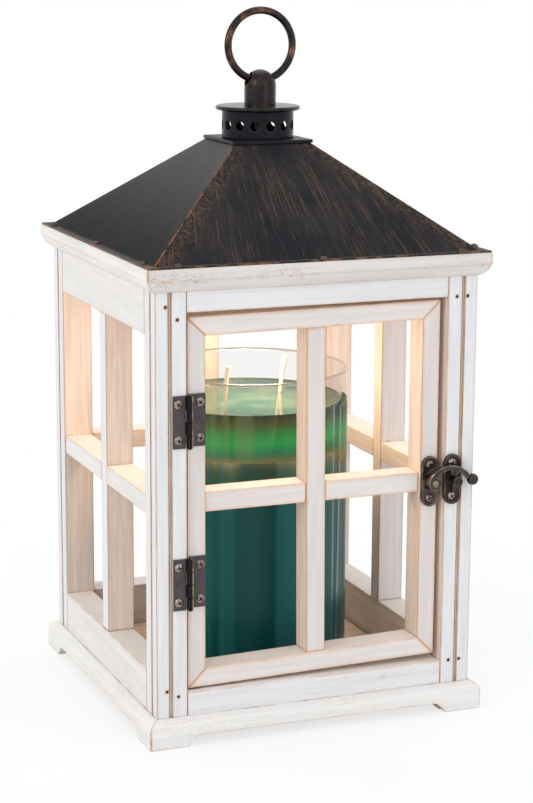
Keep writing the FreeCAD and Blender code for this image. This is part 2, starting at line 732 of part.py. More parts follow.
def roof_screw_places():
    """Three screws along each side of the flange."""
    for side in SIDES:
        for step in (-1, 0, 1):
            along, out = f"{step} * roof_screw_offset", "roof_screw_side"
            x, y = {
                "front": (along, f"-{out}"), "back": (along, out), "right": (out, along), "left": (f"-{out}", along),
            }[side]
            yield f"{side}_{step + 1}", x, y


roof_screws = [copy_at(f"roof_screw_{name}", roof_screw_model, x, y, "flange_top")
               for name, x, y in roof_screw_places()]
node("roof_screws", group("roof_screws", *roof_screws))
roof_bores = [
    rod(f"roof_bore_{name}", "screw_shank_radius", "roof_screw_length + 1", (x, y, "flange_top - roof_screw_length"))
    for name, x, y in roof_screw_places()
]

crown_lengths = [
    moulding(f"crown_{side}", CROWN_PROFILE, "crown_half", side) for side in SIDES
]
node("crown_moulding", cut("crown_moulding", group("crown_lengths", *crown_lengths), *roof_bores))


# ---------------------------------------------------------------- floor and ceiling

node("floor_board", box("floor_board", ("-floor_half", "floor_half"), ("-floor_half", "floor_half"),
                        ("floor_bottom", "floor_top")))
node("floor_cleats", group("floor_cleats", *[
    box(f"floor_cleat_{side}", sorted((f"{side} * rail_face", f"{side} * (rail_face - cleat_width)"), key=size),
        ("-post_face + 2", "post_face - 2"), ("rail_foot", "floor_bottom"))
    for side in (-1, 1)
]))


def strap_screw_places():
    return [(f"{side} * (strap_leg + strap_foot / 2)", "0") for side in (-1, 1)]


lamp_screw_model = pan_screw("lamp_screw_model", "lamp_screw_head", "lamp_screw_head_height",
                             "lamp_screw_radius", "lamp_screw_length")
strap_top = "holder_top + strap_thickness"
lamp_screws = []
lamp_bores = []
for count, (x, y) in enumerate(strap_screw_places()):
    head = "ceiling_top + strap_thickness"
    lamp_screws.append(copy_at(f"strap_screw_{count}", lamp_screw_model, x, y, head))
    lamp_bores.append(rod(f"strap_bore_{count}", "lamp_screw_radius", "lamp_screw_length + 1",
                          (x, y, f"{head} - lamp_screw_length")))
for count, side in enumerate((-1, 1)):
    x = f"{side} * holder_screw_offset"
    lamp_screws.append(copy_at(f"holder_screw_{count}", lamp_screw_model, x, "0", strap_top))
    lamp_bores.append(rod(f"holder_bore_{count}", "lamp_screw_radius", "lamp_screw_length + 1",
                          (x, "0", f"{strap_top} - lamp_screw_length")))
node("lamp_screws", group("lamp_screws", *lamp_screws))

ceiling_blank = box("ceiling_blank", ("-floor_half", "floor_half"), ("-floor_half", "floor_half"),
                    ("ceiling_bottom", "ceiling_top"))
ceiling_hole = rod("ceiling_hole", "bulb_radius + bulb_gap", "ceiling_thickness + 2", ("0", "0", "ceiling_bottom - 1"))
node("ceiling_board", cut("ceiling_board", ceiling_blank, ceiling_hole, *lamp_bores[:2]))


# ---------------------------------------------------------------- hinges

def hinge_screw_places(x):
    return [(x, f"{height} + {sign} * screw_offset") for height in HINGES.values() for sign in (-1, 1)]


def latch_screw_places(x, z):
    return [(x, f"{z} + {sign} * screw_offset") for sign in (-1, 1)]


frame_screw_places = hinge_screw_places("frame_screw_x")
door_screw_places = hinge_screw_places("door_screw_x")
latch_places = latch_screw_places("latch_x", "latch_z")
catch_places = latch_screw_places("catch_x", "catch_z")

frame_bores = shank_bores("frame_hinge", frame_screw_places, "leaf_front")
catch_bores = shank_bores("catch", catch_places, "catch_screw_seat")
door_bores = shank_bores("door_hinge", door_screw_places, "door_leaf_front")
latch_bores = shank_bores("latch", latch_places, "latch_screw_seat")


def knuckle_spans(height, owner):
    """The z spans of the two knuckles of one leaf; owner 0 has the first from the bottom."""
    for index in (owner, owner + 2):
        low = f"{height} - hinge_height / 2 + {index} * knuckle_pitch"
        yield low, f"{low} + knuckle_pitch"


def knuckle(name, low, high):
    gap = "knuckle_gap / 2"
    return rod(name, "barrel_radius", f"({high}) - ({low}) - knuckle_gap", ("hinge_x", "hinge_y", f"{low} + {gap}"))


def frame_leaf(which, height):
    """The leaf on the post, in the plane of its face, with two knuckles."""
    name = f"{which}_frame_leaf"
    tall = (f"{height} - hinge_height / 2", f"{height} + hinge_height / 2")
    plate = box(name + "_plate", ("hinge_x - frame_leaf_width", "hinge_x"), ("leaf_front", "-body_half"), tall)
    ways = [
        box(f"{name}_way_{count}", ("hinge_x - barrel_radius - barrel_clearance", "hinge_x + 1"),
            ("leaf_front - 1", "-body_half + 1"), (f"{low} - knuckle_gap / 2", f"{high} + knuckle_gap / 2"))
        for count, (low, high) in enumerate(knuckle_spans(height, 0))
    ]
    knuckles = [knuckle(f"{name}_knuckle_{count}", low, high)
                for count, (low, high) in enumerate(knuckle_spans(height, 1))]
    bore = rod(name + "_bore", "hinge_pin_radius", "hinge_height + 2", ("hinge_x", "hinge_y", f"{tall[0]} - 1"))
    return cut(name, fuse(name + "_body", cut(name + "_cut", plate, *ways), *knuckles), bore, *frame_bores)


def door_leaf(which, height):
    """The leaf on the door, cranked back from the barrel to the recessed door face."""
    name = f"{which}_door_leaf"
    tall = (f"{height} - hinge_height / 2", f"{height} + hinge_height / 2")
    inner = "hinge_x + barrel_radius - leaf_thickness"
    plate = box(name + "_plate", (inner, "hinge_x + door_leaf_width"), ("door_leaf_front", "door_front"), tall)
    solids = [plate]
    for count, (low, high) in enumerate(knuckle_spans(height, 0)):
        web = (f"{low} + knuckle_gap / 2", f"{high} - knuckle_gap / 2")
        solids.append(knuckle(f"{name}_knuckle_{count}", low, high))
        solids.append(box(f"{name}_web_{count}", (inner, "hinge_x + barrel_radius"), ("hinge_y", "door_front"), web))
    bore = rod(name + "_bore", "hinge_pin_radius + hinge_pin_play", "hinge_height + 2",
               ("hinge_x", "hinge_y", f"{tall[0]} - 1"))
    return cut(name, fuse(name + "_body", *solids), bore, *door_bores)


node("hinge_frame_leaves", group("hinge_frame_leaves", *[frame_leaf(*hinge) for hinge in HINGES.items()]))
node("hinge_door_leaves", group("hinge_door_leaves", *[door_leaf(*hinge) for hinge in HINGES.items()]))
node("hinge_pins", group("hinge_pins", *[
    rod(f"{which}_hinge_pin", "hinge_pin_radius", "hinge_height + 0.6",
        ("hinge_x", "hinge_y", f"{height} - hinge_height / 2 - 0.3"))
    for which, height in HINGES.items()
]))

hinge_screw_model = pan_screw("hinge_screw_model", "screw_head_radius", "screw_head_height",
                              "screw_shank_radius", "screw_length")
node("frame_screws", group(
    "frame_screws",
    *screws_at("frame_hinge_screw", hinge_screw_model, frame_screw_places, "leaf_front"),
    *screws_at("catch_screw", hinge_screw_model, catch_places, "catch_screw_seat")))
node("door_screws", group(
    "door_screws",
    *screws_at("door_hinge_screw", hinge_screw_model, door_screw_places, "door_leaf_front"),
    *screws_at("latch_screw", hinge_screw_model, latch_places, "latch_screw_seat")))

# the posts of the front give way to the screws
for side, bores in (("left", frame_bores), ("right", catch_bores)):
    label = f"post_front_{side}"
    plain = nodes[label]
    plain.Label = label + "_plain"
    node(label, cut(label, plain, *bores))


# ---------------------------------------------------------------- door

DOOR_MITRES = {"door_hinge_stile": "left", "door_latch_stile": "right",
               "door_top_rail": "top", "door_bottom_rail": "bottom"}


def door_edge(end, x, inset):
    """Height of the door's upper or lower edge, or of its opening's; both fall towards the hinges."""
    low, high = f"(door_left + {inset})", f"(door_right - {inset})"
    share = f"({high} - ({x})) / ({high} - {low})"
    if end == "top":
        return f"door_top - {inset} - door_drop_top * {share}"
    return f"door_bottom + {inset} - door_drop_bottom * {share}"


def door_corner(side, end, inset):
    x = f"door_left + {inset}" if side == "left" else f"door_right - {inset}"
    return x, door_edge(end, x, inset)


def door_member_outline(side):
    """A mitred member of the door frame, as a four-cornered outline."""
    if side in ("left", "right"):
        return [door_corner(side, end, inset) for end, inset in
                (("bottom", "0"), ("top", "0"), ("top", "door_member"), ("bottom", "door_member"))]
    return [door_corner(end, side, inset) for end, inset in
            (("left", "0"), ("right", "0"), ("right", "door_member"), ("left", "door_member"))]


for label, side in DOOR_MITRES.items():
    member = slab(label + "_member", "XZ_Plane", door_member_outline(side), "-(door_back)", "-(door_front)")
    bores = {"left": door_bores, "right": latch_bores}.get(side)
    node(label, cut(label, member, *bores) if bores else member)


def upright_corner(side, end):
    x = ("door_upright_top" if end == "top" else "door_upright_foot") + f" + {side} * door_bar_half"
    return x, door_edge(end, x, "door_member")


def upright_edge(side, height):
    """Where the leaning side of the upright bar is at a height."""
    (top_x, top), (foot_x, foot) = upright_corner(side, "top"), upright_corner(side, "bottom")
    return f"{top_x} + door_upright_lean * ({top} - ({height})) / ({top} - ({foot}))"


def door_crossbar(end, side, stile):
    """Half of the crossbar, from a stile to the upright bar."""
    low, high = "crossbar_z - door_bar_half", "crossbar_z + door_bar_half"
    return slab(f"door_crossbar_{end}", "XZ_Plane", [
        (stile, low), (stile, high), (upright_edge(side, high), high), (upright_edge(side, low), low),
    ], "-(door_back)", "-(door_front + door_crossbar_setback)")


node("door_upright", slab(
    "door_upright", "XZ_Plane",
    [upright_corner(-1, "bottom"), upright_corner(-1, "top"), upright_corner(1, "top"), upright_corner(1, "bottom")],
    "-(door_back)", "-(door_front + door_upright_setback)"))
node("door_crossbars", group("door_crossbars", door_crossbar("a", -1, "door_inner_left"),
                             door_crossbar("b", 1, "door_inner_right")))


# ---------------------------------------------------------------- latch

def rimmed_plate(name, x, z, back, front):
    """A round-ended plate whose middle lies behind its rim."""
    plate = slab(name, "XZ_Plane", stadium(x, z, "latch_width", "latch_height"), f"-({back})", f"-({front})")
    middle = stadium(x, z, "(latch_width - plate_rim * 2)", "(latch_height - plate_rim * 2)")
    return cut(name + "_rimmed", plate,
               slab(name + "_middle", "XZ_Plane", middle, f"-({front}) - plate_recess", f"-({front}) + 1"))


def latch_plate():
    """The plate on the door with the boss that carries the hook."""
    plate = rimmed_plate("latch_plate_flat", "latch_x", "latch_z", "door_front", "latch_front")
    boss = doc.addObject("Part::Cone", "latch_boss")
    boss.Placement = Placement(Vector(), AIMS["-y"])
    bind(boss, "Radius1", "latch_boss_foot")
    bind(boss, "Radius2", "latch_boss_radius")
    bind(boss, "Height", "latch_boss_height + plate_recess")
    place(boss, "latch_x", "latch_front + plate_recess", "latch_z")
    rivet_bore = rod("latch_rivet_bore", "rivet_radius", "latch_boss_height",
                     ("latch_x", "boss_front", "latch_z"), "y")
    return cut("latch_plate", fuse("latch_plate_body", plate, boss), rivet_bore, *latch_bores)


def hook():
    """The swinging hook: hub, bow, lobe over the catch pin and ball end."""
    flat = "hook_thickness"
    hub = rod("hook_hub", "hook_hub_radius", flat, ("latch_x", "hook_back", "latch_z"), "-y")
    middle = ("latch_x + hook_bow_side", "hook_back", "latch_z - hook_bow_drop")
    outer = rod("hook_bow_outer", "hook_bow_radius", flat, middle, "-y")
    inner = rod("hook_bow_inner", "hook_bow_radius - hook_band", f"{flat} + 2",
                (middle[0], "hook_back + 1", middle[2]), "-y")
    ring = cut("hook_bow_ring", outer, inner)
    keep = box("hook_bow_keep", ("latch_x - hook_hub_radius", "latch_x + hook_reach"),
               ("hook_front", "hook_back"), ("latch_z + hook_ball_rise", "latch_z + hook_bow_radius"))
    bow = common("hook_bow", ring, keep)
    lobe = rod("hook_lobe", "hook_lobe_radius", flat, ("catch_x", "hook_back", "lobe_z"), "-y")
    end = ball("hook_ball", "hook_ball_radius",
               ("latch_x + hook_reach", "hook_middle - hook_ball_proud", "latch_z + hook_ball_rise"))
    bore = rod("hook_bore", "rivet_radius + rivet_play", f"{flat} + 2", ("latch_x", "hook_back + 1", "latch_z"), "-y")
    return cut("latch_hook", fuse("hook_body", hub, bow, lobe, end), bore)


def rivet():
    shank = rod("rivet_shank", "rivet_radius", "latch_boss_height - 1 + hook_thickness + hook_gap * 2 + 0.2",
                ("latch_x", "boss_front + latch_boss_height - 1", "latch_z"), "-y")
    dome = "(rivet_head_radius ^ 2 / rivet_head_height + rivet_head_height) / 2"
    sphere = ball("rivet_dome", dome, ("latch_x", f"rivet_head_back - rivet_head_height + {dome}", "latch_z"))
    keep = rod("rivet_keep", "rivet_head_radius", "rivet_head_height", ("latch_x", "rivet_head_back", "latch_z"), "-y")
    return fuse("latch_rivet", shank, common("rivet_head", sphere, keep))


def catch_plate():
    """The plate on the post with the headed pin that the hook drops over."""
    plate = rimmed_plate("catch_plate_flat", "catch_x", "catch_z", "-body_half", "catch_front")
    stem = rod("catch_stem", "catch_stem_radius", "catch_stem_length + plate_recess",
               ("catch_x", "catch_front + plate_recess", "catch_z"), "-y")
    head = rod("catch_head", "catch_head_radius", "catch_head_length", ("catch_x", "catch_head_back", "catch_z"), "-y")
    rib = box("catch_rib_block", ("catch_x - catch_rib / 2", "catch_x + catch_rib / 2"),
              ("catch_front - catch_rib", "catch_front + plate_recess"),
              ("catch_z - screw_offset + screw_head_radius + 0.3", "catch_z"))
    return cut("catch_plate", fuse("catch_plate_body", plate, stem, head, rib), *catch_bores)


node("latch_plate", latch_plate())
node("latch_hook", hook())
node("latch_rivet", rivet())
node("catch_plate", catch_plate())


# ---------------------------------------------------------------- roof

def frustum(name, low_half, low_z, high_half, high_z):
    """A square tapering solid; the wedge's own Y axis points up."""
    made = doc.addObject("Part::Wedge", name)
    made.Placement = Placement(Vector(), Rotation(Vector(1, 0, 0), 90))
    for path, text in (
        ("Xmin", f"-({low_half})"), ("Xmax", low_half), ("Zmin", f"-({low_half})"), ("Zmax", low_half),
        ("X2min", f"-({high_half})"), ("X2max", high_half), ("Z2min", f"-({high_half})"), ("Z2max", high_half),
        ("Ymin", "0"), ("Ymax", f"({high_z}) - ({low_z})"),
    ):
        bind(made, path, text)
    return place(made, "0", "0", low_z)


def roof_shell():
    """Folded sheet: a flange, four slopes and a flat top with a round opening."""
    taper = "slope_run / roof_rise"
    outer = frustum("roof_outer", "slope_foot", "flange_top", "roof_top_half", "slope_top")
    flange = box("roof_flange", ("-flange_half", "flange_half"), ("-flange_half", "flange_half"),
                 ("frame_height", "flange_top"))
    inner = frustum(
        "roof_inner", f"slope_foot + (roof_sheet + 1) * {taper} - slope_wall", "frame_height - 1",
        f"roof_top_half + roof_sheet * {taper} - slope_wall", "slope_top - roof_sheet")
    opening = rod("roof_opening", "draught_radius", "roof_sheet + 4", ("0", "0", "slope_top - roof_sheet - 2"))
    return cut("roof_shell", fuse("roof_solid", outer, flange), inner, opening, gland_rod("gland_hole", "gland_neck_radius", "-5", "10"), *roof_bores)


def gland_rod(name, radius, start, length):
    """A cylinder square to the back slope, from a distance outside of the sheet."""
    made = doc.addObject("Part::Cylinder", name)
    made.Placement = Placement(Vector(), Rotation(Vector(-1, 0, 0), 1))
    bind(made, "Placement.Rotation.Angle", "slope_angle")
    bind(made, "Radius", radius)
    bind(made, "Height", length)
    along = f"({start})"
    return place(made, "0", f"gland_y + {along} * sin(slope_angle)", f"gland_z + {along} * cos(slope_angle)")


def cord_gland():
    thick = "gland_flange_thickness"
    neck = gland_rod("gland_neck", "gland_neck_radius", f"-roof_sheet - {thick}", f"roof_sheet + {thick} * 2")
    outside = gland_rod("gland_outside", "gland_flange_radius", "0", thick)
    inside = gland_rod("gland_inside", "gland_flange_radius", f"-roof_sheet - {thick}", thick)
    bore = gland_rod("gland_bore", "gland_bore_radius", f"-roof_sheet - {thick} - 1", f"roof_sheet + {thick} * 2 + 2")
    return cut("cord_gland", fuse("gland_body", neck, outside, inside), bore)


node("roof_shell", roof_shell())
node("cord_gland", cord_gland())


def roof_cap():
    """The top plate: a lipped square with a spoked opening for the warm air."""
    plate = box("cap_plate", ("-cap_half", "cap_half"), ("-cap_half", "cap_half"), ("slope_top", "cap_top"))
    tall = ("slope_top - 1", "cap_top + 1")
    opening = rod("cap_opening", "draught_radius", "cap_thickness + 2", ("0", "0", tall[0]))
    hub = rod("cap_hub", "hub_radius", "cap_thickness + 2", ("0", "0", tall[0]))
    spokes = [
        box("cap_spoke_x", ("-draught_radius - 1", "draught_radius + 1"), ("-spoke_width / 2", "spoke_width / 2"), tall),
        box("cap_spoke_y", ("-spoke_width / 2", "spoke_width / 2"), ("-draught_radius - 1", "draught_radius + 1"), tall),
    ]
    windows = cut("cap_windows", opening, hub, *spokes)
    bore = rod("cap_bore", "finial_screw_radius", "cap_thickness + 2", ("finial_shift", "0", tall[0]))
    return cut("roof_cap", plate, windows, bore)


def vent_collar():
    """A pierced tube: one hole, repeated around."""
    body = lathe("vent_collar", [
        ("chimney_radius - chimney_wall", "cap_top"), ("chimney_radius", "cap_top"),
        ("chimney_radius", "chimney_top"), ("chimney_radius - chimney_wall", "chimney_top"),
    ])
    doc.recompute()
    hole = body.newObject("Sketcher::SketchObject", "vent_hole_outline")
    hole.AttachmentSupport = (plane_of(body, "XZ_Plane"), [""])
    hole.MapMode = "FlatFace"
    height = "cap_top + vent_hole_rise"
    circle = hole.addGeometry(Part.Circle(Vector(0, size(height), 0), Vector(0, 0, 1), size("vent_hole_radius")))
    pin_to(hole, circle, 3, "0", height)
    hold(hole, "Radius", "vent_hole_radius", circle)
    pocket = body.newObject("PartDesign::Pocket", "vent_hole")
    pocket.Profile = hole
    bind(pocket, "Length", "chimney_radius + 1")
    holes = body.newObject("PartDesign::PolarPattern", "vent_holes")
    holes.Originals = [pocket]
    holes.Axis = (plane_of(body, "Z_Axis"), [""])
    holes.Angle = 360
    bind(holes, "Occurrences", "vent_hole_count")
    body.Tip = holes
    return body


node("roof_cap", roof_cap())
node("vent_collar", vent_collar())
disc_blank = lathe("disc_blank", [
    ("0", "chimney_top"),
    ("disc_radius - disc_thickness / 2", "chimney_top"),
    ("disc_radius - disc_thickness / 2", "disc_top", HALF_ROUND, -1),
    ("0", "disc_top"),
])
node("cap_disc", cut("cap_disc", disc_blank, rod(
    "disc_bore", "finial_screw_radius", "disc_thickness + 2", ("finial_shift", "0", "chimney_top - 1"))))


# ---------------------------------------------------------------- finial and ring

def finial():
    """A bullet with a blind hole for its screw and a cross hole for the ring."""
    bullet = lathe("finial_bullet", [
        ("0", "disc_top"),
        ("finial_radius", "disc_top"),
        ("finial_radius", "finial_top - finial_radius"),
        ("0", "finial_top", "finial_radius", -1),
    ], "finial_shift")
    screw_hole = rod("finial_screw_hole", "finial_screw_radius", "finial_screw_depth + 1",
                     ("finial_shift", "0", "disc_top - 1"))
    ring_hole = rod("finial_ring_hole", "ring_hole_radius", "finial_radius * 2 + 2",
                    ("finial_shift - finial_radius - 1", "0", "ring_hole"), "x")
    return cut("finial", bullet, screw_hole, ring_hole)


node("finial", finial())
node("finial_screw", lathe("finial_screw", [
    ("0", "slope_top - finial_screw_head_height"),
    ("finial_screw_head", "slope_top - finial_screw_head_height"),
    ("finial_screw_head", "slope_top"),
    ("finial_screw_radius", "slope_top"),
    ("finial_screw_radius", "disc_top + finial_screw_depth"),
    ("0", "disc_top + finial_screw_depth"),
], "finial_shift"))

carry_ring = doc.addObject("Part::Torus", "carry_ring")
carry_ring.Placement = Placement(Vector(), Rotation(Vector(1, 0, 0), 90))
bind(carry_ring, "Radius1", "ring_radius")
bind(carry_ring, "Radius2", "ring_wire_radius")
node("carry_ring", place(carry_ring, "finial_shift", "0", "ring_middle"))


# ---------------------------------------------------------------- bulb, holder and wiring

def bulb():
    """A reflector bulb, face down, with a two-pin twist base."""
    glass = lathe("bulb_glass", [
        ("0", "bulb_face + lens_thickness"),
        ("bulb_radius - lens_thickness", "bulb_face + lens_thickness"),
        ("bulb_radius - lens_thickness", "bulb_face"),
        ("bulb_radius", "bulb_face"),
        ("bulb_radius", "bulb_face + bulb_rim"),
        ("bulb_neck_radius", "bulb_face + bulb_neck_start", "bulb_dish", -1),
        ("bulb_neck_radius", "neck_top"),
        ("0", "neck_top"),
    ])
    pins = []
    for side in (-1, 1):
        x = f"{side} * contact_pitch"
        pins.append(rod(f"contact_pin_{side + 1}", "contact_radius", "contact_length + 1", (x, "0", "neck_top - 1")))
        pins.append(rod(f"contact_head_{side + 1}", "contact_head_radius", "contact_head_height",
                        (x, "0", "neck_top + contact_length - contact_head_height")))
    return fuse("bulb", glass, *pins)


def arc_slot(name, side, half_width, low, high):
    """A round-ended slot along the path of one contact pin, from rest to the end of its twist."""
    reach = f"({high}) - ({low})"
    sector = []
    for word, radius, angle, extra in (("outer", f"contact_pitch + {half_width}", "twist_angle", 0),
                                       ("inner", f"contact_pitch - ({half_width})", "360", 1)):
        made = doc.addObject("Part::Cylinder", f"{name}_{word}")
        made.Placement = Placement(Vector(), Rotation(Vector(0, 0, 1), 1))
        bind(made, "Placement.Rotation.Angle", f"{90 - 90 * side} - twist_angle")
        bind(made, "Radius", radius)
        bind(made, "Height", f"{reach} + {extra} * 2")
        bind(made, "Angle", angle)
        sector.append(place(made, "0", "0", f"{low} - {extra}"))
    ends = [rod(f"{name}_end_{count}", half_width, reach, (*pin_place(side, angle), low))
            for count, angle in enumerate(("0", "twist_angle"))]
    return fuse(name, cut(name + "_sector", *sector), *ends)


def pin_place(side, angle):
    """Where a contact pin stands after a turn; unlocking is anticlockwise, seen from below."""
    return f"{side} * contact_pitch * cos({angle})", f"-{side} * contact_pitch * sin({angle})"


def lead_bores(name, start, length):
    return [rod(f"{name}_{side + 1}", "lead_radius", length, (f"{side} * lead_spread", start[0], start[1]), "y")
            for side in (-1, 1)]


def lamp_holder():
    """A ceramic block whose two slots let the contact pins in and lock them by a twist."""
    block = rod("holder_block", "holder_radius", "holder_height", ("0", "0", "holder_bottom"))
    head_low = "neck_top + contact_length - contact_head_height - contact_play"
    cuts = []
    for side in (-1, 1):
        cuts.append(arc_slot(f"pin_slot_{side + 1}", side, "contact_radius + contact_play",
                             "holder_bottom - 1", f"{head_low} + 1"))
        cuts.append(arc_slot(f"head_slot_{side + 1}", side, "contact_head_radius + contact_play",
                             head_low, "neck_top + contact_length + contact_play"))
        cuts.append(rod(f"entry_{side + 1}", "contact_head_radius + contact_play", f"{head_low} - holder_bottom + 2",
                        (*pin_place(side, "twist_angle"), "holder_bottom - 1")))
    wires = lead_bores("holder_wire_way", ("sqrt(holder_radius ^ 2 - lead_spread ^ 2) - lead_seat", "lead_z"), "lead_seat + 5")
    return cut("lamp_holder", block, *cuts, *wires, *lamp_bores[2:])


def lamp_strap():
    """A bent steel strap that stands on the ceiling board and holds the lamp holder."""
    def half(side):
        leg = sorted((f"{side} * strap_leg", f"{side} * (strap_leg - strap_thickness)"), key=size)
        foot = sorted((f"{side} * (strap_leg - strap_thickness)", f"{side} * (strap_leg + strap_foot)"), key=size)
        across = ("-strap_width / 2", "strap_width / 2")
        return [box(f"strap_leg_{side + 1}", leg, across, ("ceiling_top", strap_top)),
                box(f"strap_foot_{side + 1}", foot, across, ("ceiling_top", "ceiling_top + strap_thickness"))]
    bridge = box("strap_bridge", ("-strap_leg", "strap_leg"), ("-strap_width / 2", "strap_width / 2"),
                 ("holder_top", strap_top))
    return cut("lamp_strap", fuse("strap_body", bridge, *half(-1), *half(1)), *lamp_bores)


def lead(side):
    """One insulated lead: back from the holder, down, and into the terminal block."""
    x = f"{side} * lead_spread"
    start = "sqrt(holder_radius ^ 2 - lead_spread ^ 2) - lead_seat"
    run = rod(f"lead_run_{side + 1}", "lead_radius", f"lead_back - ({start})", (x, start, "lead_z"), "y")
    drop = rod(f"lead_drop_{side + 1}", "lead_radius", "lead_z - (terminal_lead)", (x, "lead_back", "terminal_lead"))
    tail = rod(f"lead_tail_{side + 1}", "lead_radius", "terminal_back + lead_seat - lead_back",
               (x, "lead_back", "terminal_lead"), "y")
    knees = [ball(f"lead_knee_{side + 1}_{count}", "lead_radius", (x, "lead_back", height))
             for count, height in enumerate(("lead_z", "terminal_lead"))]
    return fuse(f"lead_{side + 1}", run, drop, tail, *knees)


def terminal_block():
    block = box("terminal_body", ("-terminal_width / 2", "terminal_width / 2"),
                ("terminal_back", "terminal_back + terminal_length"), ("ceiling_top", "ceiling_top + terminal_height"))
    ways = lead_bores("terminal_way", ("terminal_back - 1", "terminal_lead"), "lead_seat + 1")
    cord_ways = lead_bores("terminal_cord_way", ("terminal_back + terminal_length - lead_seat", "terminal_lead"),
                           "lead_seat + 1")
    screw_wells = [
        rod(f"terminal_well_{side + 1}_{count}", "lead_radius * 1.6", "terminal_height",
            (f"{side} * lead_spread", y, "terminal_lead + lead_radius * 2"))
        for side in (-1, 1)
        for count, y in enumerate(("terminal_back + lead_seat", "terminal_back + terminal_length - lead_seat"))
    ]
    return cut("terminal_block", block, *ways, *cord_ways, *screw_wells)


node("bulb", bulb())
node("lamp_holder", lamp_holder())
node("lamp_strap", lamp_strap())
node("lamp_leads", group("lamp_leads", lead(-1), lead(1)))
node("terminal_block", terminal_block())


# ---------------------------------------------------------------- candle

def wick_rods(name):
    """The leaning wicks, or the holes that they stand in."""
    made = []
    for which, (side, back, lean) in WICKS.items():
        wick = doc.addObject("Part::Cylinder", f"{name}_{which}")
        wick.Placement = Placement(Vector(), Rotation(Vector(0, 1, 0), 1))
        bind(wick, "Placement.Rotation.Angle", f"{lean} * wick_lean")
        bind(wick, "Radius", "wick_radius")
        bind(wick, "Height", "wick_length")
        made.append(place(wick, f"jar_side + {side}", f"jar_back + {back}", "wax_top - wick_seat"))
    return made


jar_glass = lathe("candle_jar", [
    ("0", "jar_bottom"),
    ("jar_radius - jar_round", "jar_bottom"),
    ("jar_radius", "jar_bottom + jar_round", "jar_round", -1),
    ("jar_radius", "jar_bottom + jar_height - jar_wall / 2"),
    ("jar_radius - jar_wall", "jar_bottom + jar_height - jar_wall / 2", HALF_ROUND, -1),
    ("jar_radius - jar_wall", "jar_bottom + jar_base"),
    ("0", "jar_bottom + jar_base"),
], "jar_side", "jar_back")
node("candle_jar", jar_glass)
hard_wax = lathe("hard_wax_blank", [
    ("0", "jar_bottom + jar_base"),
    ("wax_radius", "jar_bottom + jar_base"),
    ("wax_radius", "pool_edge"),
    ("0", "pool_edge - pool_dip", "pool_round", 1),
], "jar_side", "jar_back")
melted_wax = lathe("melted_wax_blank", [
    ("0", "pool_edge - pool_dip"),
    ("wax_radius", "pool_edge", "pool_round", -1),
    ("wax_radius", "wax_top"),
    ("0", "wax_top"),
], "jar_side", "jar_back")
node("candle_wax", group(
    "candle_wax",
    cut("hard_wax", hard_wax, *wick_rods("wick_socket")),
    cut("melted_wax", melted_wax, *wick_rods("wick_hole")),
))
node("candle_wicks", group("candle_wicks", *wick_rods("wick")))


# ---------------------------------------------------------------- check and write

doc.recompute()
doc.recompute()
broken = [item.Name for item in doc.Objects if {"Invalid", "Error"} & set(item.State)]
for label, thing in nodes.items():
    shape = Part.getShape(thing)
    if shape.isNull() or not shape.isValid() or not shape.Solids:
        broken.append(label)
if broken:
    raise RuntimeError("these objects failed: " + ", ".join(broken))

os.makedirs("parts", exist_ok=True)
for label, thing in nodes.items():
    Part.getShape(thing).exportStep(f"parts/{label}.step")
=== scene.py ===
import math

import bmesh
import bpy
from mathutils import Matrix, Vector


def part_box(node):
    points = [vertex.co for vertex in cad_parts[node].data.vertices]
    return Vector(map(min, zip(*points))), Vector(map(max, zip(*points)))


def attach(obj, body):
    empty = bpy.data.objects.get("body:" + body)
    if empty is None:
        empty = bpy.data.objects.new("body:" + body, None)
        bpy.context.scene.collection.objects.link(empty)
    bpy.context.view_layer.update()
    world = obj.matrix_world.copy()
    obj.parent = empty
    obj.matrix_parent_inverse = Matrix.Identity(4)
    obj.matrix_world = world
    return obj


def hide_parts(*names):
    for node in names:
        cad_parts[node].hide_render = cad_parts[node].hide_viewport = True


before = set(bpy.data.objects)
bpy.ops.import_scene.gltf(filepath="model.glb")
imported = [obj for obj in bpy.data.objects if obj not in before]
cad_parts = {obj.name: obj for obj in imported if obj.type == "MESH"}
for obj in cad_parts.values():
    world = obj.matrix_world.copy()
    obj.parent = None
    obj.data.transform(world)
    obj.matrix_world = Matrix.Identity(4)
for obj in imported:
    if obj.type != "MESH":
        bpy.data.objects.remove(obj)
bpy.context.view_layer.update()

# A whitewashed candle lantern with a bronzed roof. Lengths are in millimetres, and MM makes them metres.
MM = 0.001
AXES = "xyz"
SIDES = ("front", "right", "back", "left")
CORNERS = {"front_left": (-1, -1), "front_right": (1, -1), "back_left": (-1, 1), "back_right": (1, 1)}


# ---------------------------------------------------------------- shader sums

class Wire:
    """A socket of a finish; sums on it add their Math nodes."""

    def __init__(self, finish, socket):
        self.finish, self.socket = finish, socket

    def maths(self, operation, *values):
        return self.finish.node("ShaderNodeMath", {"operation": operation}, values)

    def __add__(self, other):
        return self.maths("ADD", self, other)

    def __radd__(self, other):
        return self.maths("ADD", other, self)

    def __sub__(self, other):
        return self.maths("SUBTRACT", self, other)

    def __rsub__(self, other):
        return self.maths("SUBTRACT", other, self)

    def __mul__(self, other):
        return self.maths("MULTIPLY", self, other)

    def __rmul__(self, other):
        return self.maths("MULTIPLY", other, self)

    def __truediv__(self, other):
        return self.maths("DIVIDE", self, other)

    def __abs__(self):
        return self.maths("ABSOLUTE", self)

    def __pow__(self, power):
        return self.maths("POWER", self, power)

    def most(self, other):
        return self.maths("MAXIMUM", self, other)

    def over(self, low, high):
        """0 below low and 1 above high, with a soft step between."""
        return self.finish.node("ShaderNodeMapRange", {"interpolation_type": "SMOOTHSTEP"},
                                {"Value": self, "From Min": low, "From Max": high})


